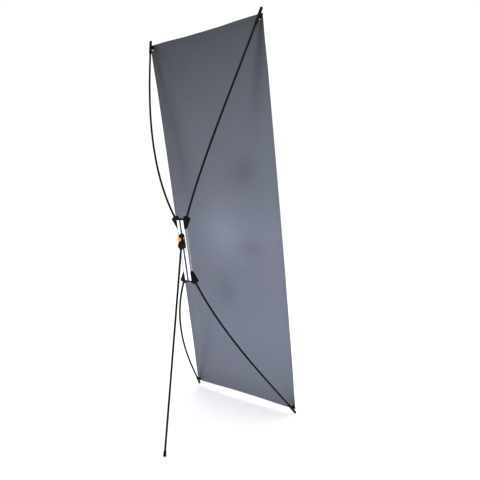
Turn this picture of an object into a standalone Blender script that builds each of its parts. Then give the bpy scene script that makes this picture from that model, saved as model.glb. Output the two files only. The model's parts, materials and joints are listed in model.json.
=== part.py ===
# X-banner stand: a leaning printed sheet held at its corners by four bent glass-fibre poles.
# The poles meet on a short aluminium profile, and a rear leg on a sliding bracket props it up.
# Metres, +Z up, +Y to the rear. The printed face looks towards -Y, and right means +X.

from math import atan2, cos, exp, pi, radians, sin, tan

import bmesh
import bpy
from mathutils import Vector

# Sheet
BANNER_WIDTH = 0.600
BANNER_HEIGHT = 1.800
BANNER_THICKNESS = 0.0005
LEAN = radians(13.0)
SIDE_BOW = 0.0065
EDGE_SAG = 0.004
SIDE_FULLNESS = 0.0015
FOLD_DEPTH = 0.003
FOLD_WIDTH = 0.028
FOLD_INSET = 0.062
CORNER_BLEND = 0.22

# Eyelets, crimped 12 mm in from each corner
EYELET_INSET = 0.012
EYELET_BORE = 0.010
EYELET_FLANGE = 0.020
EYELET_BARREL = 0.0005
EYELET_SHEET = 0.0008

# Aluminium profile
PROFILE_LENGTH = 0.265
PROFILE_WIDTH = 0.035
PROFILE_DEPTH = 0.020
PROFILE_CORNER = 0.0030
PROFILE_WALL = 0.0018
PROFILE_SETBACK = 0.317
SLOT_MOUTH = 0.0080
SLOT_LIP = 0.0022
SLOT_WIDTH = 0.0145
SLOT_HEIGHT = 0.0057
CHANNEL_WALL = 0.0016

# End caps and their screws
CAP_THICKNESS = 0.0055
LUG_THICKNESS = 0.0030
LUG_WALL = 0.0033
SCREW_SPACING = 0.022
SCREW_DIAMETER = 0.0038
SCREW_HEAD = 0.0062
SCREW_HEAD_HEIGHT = 0.0018
SCREW_LENGTH = 0.014

# Arm hinges
RIVET_DIAMETER = 0.0030
RIVET_HEAD = 0.0054
RIVET_HEAD_HEIGHT = 0.0009
PIN_OUTBOARD = 0.0033
PIN_BEYOND_END = 0.0055
ARM_SPLAY = radians(25.6)

# Arm sockets, the black wedges beside the profile
SOCKET_THICKNESS = 0.0170
HINGE_WALL = 0.0021
SOCKET_MOUTH_REACH = 0.01025
SOCKET_MOUTH_OUTER = 0.0140
SOCKET_MOUTH_INNER = 0.0130
SOCKET_TAIL = 0.0440
SOCKET_DEPTH = 0.018
SOCKET_EDGE = 0.0016
SOCKET_COLLAR_WALL = 0.00225
SOCKET_COLLAR_LENGTH = 0.004
RELIEF_DEPTH = 0.0010
RELIEF_MARGIN = 0.0032

# Poles
POLE_DIAMETER = 0.0070
POLE_START_PULL = 0.243
POLE_END_PULL = 0.258
POLE_END_DIP = radians(28.0)
POLE_END_TURN = radians(14.25)
POLE_STEPS = 20

# Corner tips, which hook the eyelets and end in a round nose
TIP_WALL = 0.00095
TIP_SLEEVE = 0.034
TIP_NOSE = 0.039
TIP_WEB = 0.0022
TIP_CLEARANCE = 0.0013
PEG_DIAMETER = 0.0065
PEG_HEAD = 0.0092
PEG_HEAD_HEIGHT = 0.0016
PEG_STEM = 0.0086
PAD_DIAMETER = 0.0160
PAD_THICKNESS = 0.0020

# Slider on the profile's groove
SLIDER_REACH = 0.055
SLIDER_NOSE = 0.0205
LOBE_HALF = 0.0093
PIVOT_BELOW_KNOB = 0.02075
PIVOT_STANDOFF = 0.0118
YOKE_CHEEK = 0.0044
YOKE_FLOOR = 0.0032
YOKE_SKIRT = 0.0145
HEEL_HEIGHT = 0.0042
TONGUE_DEPTH = 0.0018
NUT_LENGTH = 0.026
NUT_THICKNESS = 0.0042

# Clamp knob
STUD_DIAMETER = 0.0050
KNOB_DIAMETER = 0.0165
KNOB_HEIGHT = 0.0095
KNOB_NECK = 0.0030
NECK_DIAMETER = 0.0105
KNOB_SEAT = 0.0115
KNOB_LOBES = 8
KNOB_SCALLOP = 0.0010
BAR_PEEK = 0.0010
BAR_HEIGHT = 0.0060
BAR_THICKNESS = 0.0030

# Rear leg
LEG_SPLAY = radians(19.4)
LEG_PIN_DIAMETER = 0.0040
HOLDER_WALL = 0.00175
HOLDER_LENGTH = 0.0170
HOLDER_BORE_DEPTH = 0.0112
KNUCKLE_RADIUS = 0.0082
FOOT_WALL = 0.0020
FOOT_LENGTH = 0.024
FOOT_COLLAR_WALL = 0.00085
FOOT_BORE_DEPTH = 0.0150
FOOT_FLAT = 0.0008

# Clearances
GAP = 0.0003
PLAY = 0.00015
ROD_CLEARANCE = 0.00025

# Worked out from the sizes above
HUB_HEIGHT = BANNER_HEIGHT / 2
HALF_PROFILE = PROFILE_LENGTH / 2
MID_DEPTH = -PROFILE_DEPTH / 2
PIN_X = PROFILE_WIDTH / 2 + PIN_OUTBOARD
PIN_Z = HALF_PROFILE + PIN_BEYOND_END
SCREW_BORE = SCREW_DIAMETER / 2 + 2 * PLAY
RIVET_BORE = RIVET_DIAMETER / 2 + PLAY
LUG_RADIUS = RIVET_DIAMETER / 2 + LUG_WALL
KNUCKLE_THICKNESS = PROFILE_DEPTH - 2 * LUG_THICKNESS - 2 * GAP
ROD_BORE = POLE_DIAMETER / 2 + ROD_CLEARANCE
SOCKET_AXIS_OFFSET = RIVET_BORE + HINGE_WALL + ROD_BORE
TIP_RADIUS = ROD_BORE + TIP_WALL
TIP_BORE_DEPTH = TIP_SLEEVE - PEG_STEM / 2 - TIP_WEB
HOLDER_RADIUS = ROD_BORE + HOLDER_WALL
YOKE_GAP = 2 * HOLDER_RADIUS + 2 * GAP
FOOT_RADIUS = ROD_BORE + FOOT_WALL
SLIDER_PIVOT_DROP = KNOB_DIAMETER / 2 + PIVOT_BELOW_KNOB
CORNER_FLAT = EYELET_INSET + 1.9 * EYELET_FLANGE
# The tip's barrel passes behind the sheet's edge, so its axis stands this far behind the eyelet.
POLE_STANDOFF = (
    TIP_RADIUS / cos(POLE_END_DIP)
    + BANNER_THICKNESS / 2
    + TIP_CLEARANCE
    + EYELET_INSET * tan(POLE_END_DIP) / cos(POLE_END_TURN)
)
SIDES = {
    "upper_right": (1, 1),
    "upper_left": (-1, 1),
    "lower_right": (1, -1),
    "lower_left": (-1, -1),
}


def clear_scene():
    for old in list(bpy.data.objects):
        bpy.data.objects.remove(old)


def material(name, color, roughness, metallic=0.0):
    made = bpy.data.materials.new(name)
    made.use_nodes = True
    made.diffuse_color = (*color, 1.0)
    shader = made.node_tree.nodes["Principled BSDF"]
    shader.inputs["Base Color"].default_value = (*color, 1.0)
    shader.inputs["Roughness"].default_value = roughness
    shader.inputs["Metallic"].default_value = metallic
    return made


def empty(name, parent=None, location=(0, 0, 0), rotation=(0, 0, 0)):
    made = bpy.data.objects.new(name, None)
    made.empty_display_size = 0.02
    made.parent = parent
    made.location = location
    made.rotation_euler = rotation
    bpy.context.scene.collection.objects.link(made)
    return made


def finish_mesh(name, shape, look, parent, smooth=35.0):
    """One object from a bmesh, in its parent's frame."""
    bmesh.ops.recalc_face_normals(shape, faces=shape.faces)
    mesh = bpy.data.meshes.new(name)
    shape.to_mesh(mesh)
    shape.free()
    mesh.shade_smooth()
    mesh.set_sharp_from_angle(angle=radians(smooth))
    made = bpy.data.objects.new(name, mesh)
    made.parent = parent
    bpy.context.scene.collection.objects.link(made)
    if look:
        mesh.materials.append(look)
    return made


def boolean(target, other, operation="DIFFERENCE"):
    other.hide_render = True
    other.display_type = "WIRE"
    step = target.modifiers.new(other.name, "BOOLEAN")
    step.operation = operation
    step.solver = "EXACT"
    step.object = other


def soften(target, width, segments=2, angle=40.0):
    step = target.modifiers.new("rounded edges", "BEVEL")
    step.width = width
    step.segments = segments
    step.limit_method = "ANGLE"
    step.angle_limit = radians(angle)


def add_prism(shape, outline, low, high, axis):
    """Extrudes a flat outline along X, Y or Z; the outline holds the other two coordinates in order."""
    def point(pair, height):
        coordinates = list(pair)
        coordinates.insert(axis, height)
        return shape.verts.new(coordinates)

    near = [point(pair, low) for pair in outline]
    far = [point(pair, high) for pair in outline]
    shape.faces.new(near)
    shape.faces.new(far)
    for i in range(len(outline)):
        j = (i + 1) % len(outline)
        shape.faces.new((near[i], near[j], far[j], far[i]))


def prism(outline, low, high, axis):
    shape = bmesh.new()
    add_prism(shape, outline, low, high, axis)
    return shape


def add_box(shape, low, high):
    add_prism(
        shape,
        [(low[0], low[1]), (high[0], low[1]), (high[0], high[1]), (low[0], high[1])],
        low[2],
        high[2],
        2,
    )


def box(low, high):
    shape = bmesh.new()
    add_box(shape, low, high)
    return shape


def add_turned(shape, profile, origin, direction, segments, ring=False):
    """Revolves (distance along, radius) pairs round a line; a ring's pairs close on themselves."""
    turn = Vector((0, 0, 1)).rotation_difference(Vector(direction))
    rows = []
    for along, radius in profile:
        if radius < 1e-7:
            rows.append([shape.verts.new(Vector(origin) + turn @ Vector((0, 0, along)))])
            continue
        row = []
        for k in range(segments):
            angle = 2 * pi * k / segments
            spoke = Vector((radius * cos(angle), radius * sin(angle), along))
            row.append(shape.verts.new(Vector(origin) + turn @ spoke))
        rows.append(row)
    pairs = list(zip(rows, rows[1:]))
    if ring:
        pairs.append((rows[-1], rows[0]))
    for first, second in pairs:
        for k in range(segments):
            m = (k + 1) % segments
            if len(first) == 1:
                shape.faces.new((first[0], second[m], second[k]))
            elif len(second) == 1:
                shape.faces.new((first[k], first[m], second[0]))
            else:
                shape.faces.new((first[k], first[m], second[m], second[k]))
    if not ring:
        for row in (rows[0], rows[-1]):
            if len(row) > 1:
                shape.faces.new(row)


def turned(profile, origin, direction, segments=20, ring=False):
    shape = bmesh.new()
    add_turned(shape, profile, origin, direction, segments, ring)
    return shape


def round_nose(base, radius, steps=4, share=1.0):
    """The (distance, radius) pairs of a dome that starts at base."""
    return [
        (base + share * radius * sin(pi / 2 * k / steps), radius * cos(pi / 2 * k / steps))
        for k in range(1, steps)
    ] + [(base + share * radius, 0.0)]


def arc(center, radius, start, end, steps):
    return [
        (
            center[0] + radius * cos(start + (end - start) * k / steps),
            center[1] + radius * sin(start + (end - start) * k / steps),
        )
        for k in range(steps + 1)
    ]


def smooth_outline(points, steps=4):
    """A closed curve through the given points, without overshoot at this spacing."""
    count = len(points)
    outline = []
    for i in range(count):
        before, here, there, after = (Vector(points[(i + k) % count]) for k in (-1, 0, 1, 2))
        for k in range(steps):
            t = k / steps
            spot = 0.5 * (
                2 * here
                + (there - before) * t
                + (2 * before - 5 * here + 4 * there - after) * t**2
                + (3 * here - 3 * there + after - before) * t**3
            )
            outline.append(tuple(spot))
    return outline


def ease(value, low, high):
    share = min(max((value - low) / (high - low), 0.0), 1.0)
    return share * share * (3 - 2 * share)


# Profile

def profile_outline():
    half, depth, corner = PROFILE_WIDTH / 2, PROFILE_DEPTH, PROFILE_CORNER
    mouth, chamber = SLOT_MOUTH / 2, SLOT_WIDTH / 2
    outline = arc((half - corner, -corner), corner, pi / 2, 0, 4)
    outline += arc((half - corner, corner - depth), corner, 0, -pi / 2, 4)
    outline += arc((corner - half, corner - depth), corner, -pi / 2, -pi, 4)
    outline += arc((corner - half, -corner), corner, pi, pi / 2, 4)
    outline += [(-mouth, 0), (-mouth, -SLOT_LIP), (-chamber, -SLOT_LIP)]
    outline += [(-chamber, -SLOT_LIP - SLOT_HEIGHT), (chamber, -SLOT_LIP - SLOT_HEIGHT)]
    return outline + [(chamber, -SLOT_LIP), (mouth, -SLOT_LIP), (mouth, 0)]


def profile_chambers():
    """The closed hollows of the extrusion: one under the slot, and two beside each screw channel."""
    reach = HALF_PROFILE + 0.01
    shape = bmesh.new()
    inner = SLOT_WIDTH / 2 + PROFILE_WALL
    outer = PROFILE_WIDTH / 2 - PROFILE_WALL
    floor = PROFILE_WALL - PROFILE_DEPTH
    under_slot = -SLOT_LIP - SLOT_HEIGHT - PROFILE_WALL
    half_center = SLOT_WIDTH / 2 - 0.0002
    add_box(shape, (-half_center, floor, -reach), (half_center, under_slot, reach))
    for side in (-1, 1):
        low, high = sorted((side * inner, side * outer))
        rear_low = MID_DEPTH + SCREW_BORE + CHANNEL_WALL
        front_high = MID_DEPTH - SCREW_BORE - CHANNEL_WALL
        add_box(shape, (low, rear_low, -reach), (high, -PROFILE_WALL, reach))
        add_box(shape, (low, floor, -reach), (high, front_high, reach))
        add_turned(
            shape,
            [(-reach, SCREW_BORE), (reach, SCREW_BORE)],
            (side * SCREW_SPACING / 2, MID_DEPTH, 0),
            (0, 0, 1),
            16,
        )
    return shape


def build_profile(hub, looks):
    body = finish_mesh(
        "hub_profile", prism(profile_outline(), -HALF_PROFILE, HALF_PROFILE, 2), looks["silver"], hub
    )
    boolean(body, finish_mesh("profile_chambers", profile_chambers(), None, hub))


def cap_outline(end):
    """Plate across the profile's end with a round lug at each side."""
    low = HALF_PROFILE + GAP
    high = low + CAP_THICKNESS
    right = arc((PIN_X, PIN_Z), LUG_RADIUS, -pi / 2 + 0.25, pi - 0.12, 10)
    outline = [(PIN_X - LUG_RADIUS * 0.8, low)] + right
    outline += [(-x, z) for x, z in reversed(outline)]
    top_in = PIN_X - LUG_RADIUS - 0.0004
    outline.insert(len(right) + 1, (top_in, high))
    outline.insert(len(right) + 2, (-top_in, high))
    return [(x, end * z) for x, z in outline]


def build_cap(name, end, hub, looks):
    cap = finish_mesh(name, prism(cap_outline(end), -PROFILE_DEPTH, 0, 1), looks["black"], hub)
    soften(cap, 0.0005, 1)
    cuts = bmesh.new()
    slot_in = PIN_X - LUG_RADIUS - GAP
    slot_out = PIN_X + 2 * LUG_RADIUS
    low, high = sorted((end * (HALF_PROFILE - 0.01), end * (PIN_Z + 2 * LUG_RADIUS)))
    for side in (-1, 1):
        left, right = sorted((side * slot_in, side * slot_out))
        add_box(
            cuts,
            (left, LUG_THICKNESS - PROFILE_DEPTH, low),
            (right, -LUG_THICKNESS, high),
        )
    boolean(cap, finish_mesh(name + "_hinge_slots", cuts, None, hub))
    holes = bmesh.new()
    for side in (-1, 1):
        add_turned(
            holes,
            [(-PROFILE_DEPTH, RIVET_BORE), (PROFILE_DEPTH, RIVET_BORE)],
            (side * PIN_X, MID_DEPTH, end * PIN_Z),
            (0, 1, 0),
            16,
        )
        add_turned(
            holes,
            [(-0.01, SCREW_BORE), (0.02, SCREW_BORE)],
            (side * SCREW_SPACING / 2, MID_DEPTH, end * HALF_PROFILE),
            (0, 0, end),
            16,
        )
    boolean(cap, finish_mesh(name + "_holes", holes, None, hub))


def build_screw(name, end, side, hub, looks):
    """Pan head on the cap, shank down the profile's screw channel."""
    seat = HALF_PROFILE + GAP + CAP_THICKNESS + GAP
    head, shank = SCREW_HEAD / 2, SCREW_DIAMETER / 2
    profile = [(seat - SCREW_LENGTH, shank * 0.6), (seat - SCREW_LENGTH + 0.0012, shank)]
    profile += [(seat, shank), (seat, head), (seat + SCREW_HEAD_HEIGHT * 0.6, head)]
    profile += [(seat + SCREW_HEAD_HEIGHT, head * 0.62), (seat + SCREW_HEAD_HEIGHT, head * 0.4)]
    profile += [(seat + SCREW_HEAD_HEIGHT * 0.35, head * 0.28)]
    profile += [(seat + SCREW_HEAD_HEIGHT * 0.35, 0.0)]
    origin = (side * SCREW_SPACING / 2, MID_DEPTH, 0)
    finish_mesh(name, turned(profile, origin, (0, 0, end), 12), looks["steel"], hub)


def build_rivet(name, side, end, hub, looks):
    """A rivet through both lugs of the cap, with a head outside each."""
    half = PROFILE_DEPTH / 2 + GAP
    shank, head = RIVET_DIAMETER / 2, RIVET_HEAD / 2
    profile = [(-half - RIVET_HEAD_HEIGHT, 0.0), (-half - RIVET_HEAD_HEIGHT, head * 0.6)]
    profile += [(-half - RIVET_HEAD_HEIGHT * 0.4, head), (-half, head), (-half, shank)]
    profile += [(-along, radius) for along, radius in reversed(profile)]
    origin = (side * PIN_X, MID_DEPTH, end * PIN_Z)
    finish_mesh(name, turned(profile, origin, (0, 1, 0), 12), looks["black"], hub)


# Arms. Each is drawn for the upper right and turned to its corner by the signs of its side.

def pole_axis(side, end):
    return Vector((side * sin(ARM_SPLAY), 0, end * cos(ARM_SPLAY)))


def pole_normal(side, end):
    return Vector((side * cos(ARM_SPLAY), 0, -end * sin(ARM_SPLAY)))


def mouth_center(side, end):
    """The middle of the socket's mouth, from the hinge pin."""
    along = SOCKET_MOUTH_REACH * pole_axis(side, end)
    return along + SOCKET_AXIS_OFFSET * pole_normal(side, end)


def tip_axis(side, end):
    flat = cos(POLE_END_DIP)
    return Vector(
        (side * flat * sin(POLE_END_TURN), -sin(POLE_END_DIP), end * flat * cos(POLE_END_TURN))
    )


def pin_spot(side, end):
    return Vector((side * PIN_X, MID_DEPTH, end * PIN_Z))


def eyelet_spot(side, end):
    """The eyelet's centre in the hub's frame."""
    return Vector(
        (
            side * (BANNER_WIDTH / 2 - EYELET_INSET),
            -PROFILE_SETBACK,
            end * (BANNER_HEIGHT / 2 - EYELET_INSET),
        )
    )


def tip_spot(side, end):
    """Where the tip's axis passes behind the peg, in the hub's frame."""
    return peg_spot(side, end) + Vector((0, POLE_STANDOFF, 0))


def peg_spot(side, end):
    """The peg bears on the outer rim of the eyelet, so it sits off the eyelet's centre."""
    shift = (EYELET_BORE - PEG_DIAMETER) / 2 - GAP
    outward = Vector((side * sin(POLE_END_TURN), 0, end * cos(POLE_END_TURN)))
    return eyelet_spot(side, end) + shift * outward


def socket_outline(side, end):
    inner = PROFILE_WIDTH / 2 + GAP - PIN_X
    mouth = mouth_center(1, 1)
    across = pole_normal(1, 1)
    outer_corner = mouth + SOCKET_MOUTH_OUTER * across
    inner_corner = mouth - SOCKET_MOUTH_INNER * across
    points = [
        (inner, 0.0015 - SOCKET_TAIL),
        (inner + 0.0020, -0.0010 - SOCKET_TAIL),
        (outer_corner.x - 0.0008, outer_corner.z - 0.0020),
        (outer_corner.x, outer_corner.z),
        (inner_corner.x, inner_corner.z),
        (inner, -LUG_RADIUS - 2 * GAP),
    ]
    return [(side * x, end * z) for x, z in points]


def socket_relief(side, end):
    """Shallow three-cornered recess in each broad face, below the bore."""
    inner = PROFILE_WIDTH / 2 + GAP - PIN_X + RELIEF_MARGIN
    points = [(inner, -0.0330), (inner + 0.0085, -0.0165), (inner, -0.0140)]
    outline = [(side * x, end * z) for x, z in points]
    half = SOCKET_THICKNESS / 2
    shape = bmesh.new()
    add_prism(shape, outline, half - RELIEF_DEPTH, half + 0.005, 1)
    add_prism(shape, outline, -half - 0.005, RELIEF_DEPTH - half, 1)
    return shape


def lug_pockets(side, end):
    """Room for the cap's lugs on both faces, through the whole fold."""
    radius = LUG_RADIUS + GAP
    thin, thick = KNUCKLE_THICKNESS / 2, SOCKET_THICKNESS / 2 + 0.004
    steps = 16
    turn = [(-pi / 2 + pi * k / steps) for k in range(steps + 1)]
    outline = [(side * radius * cos(a), end * radius * sin(a)) for a in turn]
    reach = 2.2 * LUG_RADIUS
    outline += [(-side * reach, end * radius), (-side * reach, -end * (radius + GAP))]
    outline += [(0.0, -end * (radius + GAP))]
    shape = bmesh.new()
    add_prism(shape, outline, thin, thick, 1)
    add_prism(shape, outline, -thick, -thin, 1)
    return shape


def build_socket(name, side, end, pin, looks):
    half = SOCKET_THICKNESS / 2
    body = finish_mesh(name, prism(socket_outline(side, end), -half, half, 1), looks["black"], pin)
    soften(body, SOCKET_EDGE, 2)
    mouth, axis = mouth_center(side, end), pole_axis(side, end)
    boolean(body, finish_mesh(name + "_lug_pockets", lug_pockets(side, end), None, pin))
    boolean(body, finish_mesh(name + "_relief", socket_relief(side, end), None, pin))
    thin = KNUCKLE_THICKNESS / 2
    knuckle = turned([(-thin, LUG_RADIUS), (thin, LUG_RADIUS)], (0, 0, 0), (0, 1, 0), 20)
    boolean(body, finish_mesh(name + "_knuckle", knuckle, None, pin), "UNION")
    collar = ROD_BORE + SOCKET_COLLAR_WALL
    lip = [(-0.006, collar * 0.9), (0.0, collar), (SOCKET_COLLAR_LENGTH * 0.7, collar * 0.92)]
    lip.append((SOCKET_COLLAR_LENGTH, collar * 0.8))
    boolean(body, finish_mesh(name + "_collar", turned(lip, mouth, axis, 20), None, pin), "UNION")
    bore = [(-SOCKET_DEPTH, ROD_BORE), (SOCKET_COLLAR_LENGTH + 0.01, ROD_BORE)]
    boolean(body, finish_mesh(name + "_bore", turned(bore, mouth, axis, 16), None, pin))
    reach = SOCKET_THICKNESS
    hole = [(-reach, RIVET_BORE), (reach, RIVET_BORE)]
    boolean(body, finish_mesh(name + "_pin_hole", turned(hole, (0, 0, 0), (0, 1, 0), 16), None, pin))


def pole_route(side, end):
    """Straight in the socket, bent between, straight in the corner tip; from the hinge pin."""
    mouth, axis = mouth_center(side, end), pole_axis(side, end)
    crossing = tip_spot(side, end) - pin_spot(side, end)
    direction = tip_axis(side, end)
    sleeve = crossing - TIP_SLEEVE * direction
    handle_a = mouth + POLE_START_PULL * axis
    handle_b = sleeve - POLE_END_PULL * direction
    route = [mouth - (SOCKET_DEPTH - GAP) * axis]
    for k in range(POLE_STEPS + 1):
        t = k / POLE_STEPS
        route.append(
            (1 - t) ** 3 * mouth
            + 3 * t * (1 - t) ** 2 * handle_a
            + 3 * t**2 * (1 - t) * handle_b
            + t**3 * sleeve
        )
    route.append(sleeve + (TIP_BORE_DEPTH - GAP) * direction)
    return route


def build_rod(name, route, diameter, parent, looks):
    curve = bpy.data.curves.new(name, "CURVE")
    curve.dimensions = "3D"
    curve.bevel_depth = diameter / 2
    curve.bevel_resolution = 3
    curve.use_fill_caps = True
    spline = curve.splines.new("POLY")
    spline.points.add(len(route) - 1)
    for point, spot in zip(spline.points, route):
        point.co = (*spot, 1.0)
    curve.materials.append(looks["fibre"])
    made = bpy.data.objects.new(name, curve)
    made.parent = parent
    bpy.context.scene.collection.objects.link(made)


def build_tip(name, side, end, pin, looks):
    """Sleeve over the pole, a pad and headed peg for the eyelet, and a round nose."""
    crossing = tip_spot(side, end) - pin_spot(side, end)
    direction = tip_axis(side, end)
    barrel = [(-TIP_SLEEVE, TIP_RADIUS * 0.88), (-TIP_SLEEVE + 0.0015, TIP_RADIUS)]
    barrel += [(TIP_NOSE - TIP_RADIUS, TIP_RADIUS)]
    barrel += round_nose(TIP_NOSE - TIP_RADIUS, TIP_RADIUS, 4)
    body = finish_mesh(name, turned(barrel, crossing, direction, 16), looks["black"], pin)
    rim = BANNER_THICKNESS / 2 + GAP + EYELET_SHEET
    pad_low = rim + GAP
    peg = [(0.0, PEG_STEM / 2), (-POLE_STANDOFF + pad_low + 1.9 * PAD_THICKNESS, PEG_STEM / 2)]
    peg += [(-POLE_STANDOFF + pad_low + PAD_THICKNESS, PAD_DIAMETER / 2)]
    peg += [(-POLE_STANDOFF + pad_low, PAD_DIAMETER / 2), (-POLE_STANDOFF + pad_low, PEG_DIAMETER / 2)]
    head = -POLE_STANDOFF - rim - GAP
    peg += [(head, PEG_DIAMETER / 2), (head, PEG_HEAD / 2), (head - PEG_HEAD_HEIGHT / 2, PEG_HEAD / 2)]
    peg += [(head - PEG_HEAD_HEIGHT, PEG_HEAD * 0.34), (head - PEG_HEAD_HEIGHT, 0.0)]
    hook = turned([(-along, radius) for along, radius in peg], crossing, (0, -1, 0), 18)
    boolean(body, finish_mesh(name + "_hook", hook, None, pin), "UNION")
    bore = [(-TIP_SLEEVE - 0.01, ROD_BORE), (TIP_BORE_DEPTH - TIP_SLEEVE, ROD_BORE)]
    boolean(body, finish_mesh(name + "_bore", turned(bore, crossing, direction, 16), None, pin))


def build_eyelet(name, side, end, pin, looks):
    """Barrel and two rolled flanges, with the sheet's thickness and a gap between them."""
    bore, rim = EYELET_BORE / 2, EYELET_FLANGE / 2
    wall = bore + EYELET_BARREL
    seat = BANNER_THICKNESS / 2 + GAP
    crown = seat + EYELET_SHEET
    face = [(crown - 0.0003, bore), (crown, wall), (crown, rim - 0.0020)]
    face += [(crown - 0.0003, rim - 0.0005), (seat, rim), (seat, wall)]
    loop = face + [(-along, radius) for along, radius in reversed(face)]
    center = eyelet_spot(side, end) - pin_spot(side, end)
    finish_mesh(name, turned(loop, center, (0, 1, 0), 20, ring=True), looks["nickel"], pin)


def build_arm(corner, hub, looks):
    side, end = SIDES[corner]
    pin = empty("arm_" + corner + "_hinge", hub, pin_spot(side, end))
    build_rivet("arm_rivet_" + corner, side, end, hub, looks)
    build_socket("arm_socket_" + corner, side, end, pin, looks)
    build_rod("pole_" + corner, pole_route(side, end), POLE_DIAMETER, pin, looks)
    build_tip("corner_tip_" + corner, side, end, pin, looks)
    build_eyelet("eyelet_" + corner, side, end, pin, looks)


# Sheet

def edge_lines(half, inner_steps):
    """Grid lines from the middle to one edge: even, then closer round the eyelet."""
    flat = [half - share * CORNER_FLAT for share in (0.0, 0.22, 0.48, 0.9, 1.4)]
    start = flat[-1]
    lines = [start * k / inner_steps for k in range(inner_steps)]
    lines += list(reversed(flat))
    return [-line for line in reversed(lines[1:])] + lines


def sheet_point(across, up):
    """A taut sheet: gathered at its corners, full at its sides, with a shallow fold down each side."""
    half_width, half_height = BANNER_WIDTH / 2, BANNER_HEIGHT / 2
    share, rise = across / half_width, up / half_height
    corner = Vector((half_width - abs(across), half_height - abs(up))).length
    free = ease(corner, CORNER_FLAT, CORNER_BLEND)
    bow = -SIDE_BOW * share**2 * (1 - rise**4)
    fold_line = half_width - FOLD_INSET - 0.02 * (1 - rise**2)
    fold = FOLD_DEPTH * exp(-(((abs(across) - fold_line) / FOLD_WIDTH) ** 2))
    spread = across * (1 + free * SIDE_FULLNESS / half_width * (1 - rise**2))
    sag = EDGE_SAG * (1 - share**2) * abs(rise) ** 9 * (1 if up > 0 else -1)
    return Vector((spread, free * (bow + fold * (1 - rise**8)), up - free * sag))


def build_sheet(hub, looks):
    columns = edge_lines(BANNER_WIDTH / 2, 4)
    rows = edge_lines(BANNER_HEIGHT / 2, 10)
    shape = bmesh.new()
    offset = Vector((0, -PROFILE_SETBACK, 0))
    grid = [[shape.verts.new(sheet_point(x, z) + offset) for x in columns] for z in rows]
    for j in range(len(rows) - 1):
        for i in range(len(columns) - 1):
            corners = (grid[j][i], grid[j][i + 1], grid[j + 1][i + 1], grid[j + 1][i])
            shape.faces.new(corners)
    sheet = finish_mesh("banner_sheet", shape, looks["sheet"], hub)
    wall = sheet.modifiers.new("sheet thickness", "SOLIDIFY")
    wall.thickness = BANNER_THICKNESS
    wall.offset = 0.0
    holes = bmesh.new()
    radius = EYELET_BORE / 2 + EYELET_BARREL + GAP
    for side, end in SIDES.values():
        add_turned(holes, [(-0.01, radius), (0.01, radius)], eyelet_spot(side, end), (0, 1, 0), 20)
    boolean(sheet, finish_mesh("eyelet_holes", holes, None, hub))


# Slider. Its frame lies on the profile's rear face, at the clamp knob's axis.

def slider_rear_outline():
    """The moulding seen from the rear: a rounded top, a lobe for the knob and a wider yoke."""
    yoke, pivot = YOKE_GAP / 2 + YOKE_CHEEK, -SLIDER_PIVOT_DROP
    right = [
        (0.36 * LOBE_HALF, 0.99 * SLIDER_NOSE),
        (0.76 * LOBE_HALF, 0.76 * SLIDER_NOSE),
        (0.97 * LOBE_HALF, 0.36 * SLIDER_NOSE),
        (LOBE_HALF, -0.07 * SLIDER_NOSE),
        (LOBE_HALF, 0.40 * pivot),
        ((LOBE_HALF + yoke) / 2, 0.70 * pivot),
        (yoke, pivot - 0.05 * YOKE_SKIRT),
        (0.86 * yoke, pivot - 0.60 * YOKE_SKIRT),
        (0.50 * yoke, pivot - 0.95 * YOKE_SKIRT),
    ]
    return smooth_outline(right + [(-x, z) for x, z in reversed(right)], 3)


def slider_side_outline():
    """The moulding seen from the side, as (behind the profile, up)."""
    pivot, back = -SLIDER_PIVOT_DROP, PIVOT_STANDOFF
    under_knob = -KNOB_DIAMETER / 2 - 0.0015
    deck = KNOB_SEAT - 2 * GAP
    below_base = -0.0015
    return smooth_outline(
        [
            (below_base, pivot - YOKE_SKIRT),
            (0.8 * back, pivot - YOKE_SKIRT),
            (back + 0.0070, pivot - 0.6 * YOKE_SKIRT),
            (back + 0.0088, pivot),
            (back + 0.0062, pivot + 0.0090),
            (deck + 0.0012, under_knob),
            (deck, under_knob + 0.0045),
            (deck, 0.0072),
            (0.86 * deck, 0.66 * SLIDER_NOSE),
            (0.58 * deck, 1.00 * SLIDER_NOSE),
            (0.40 * deck, 1.24 * SLIDER_NOSE),
            (below_base, 1.30 * SLIDER_NOSE),
        ],
        3,
    )


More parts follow.
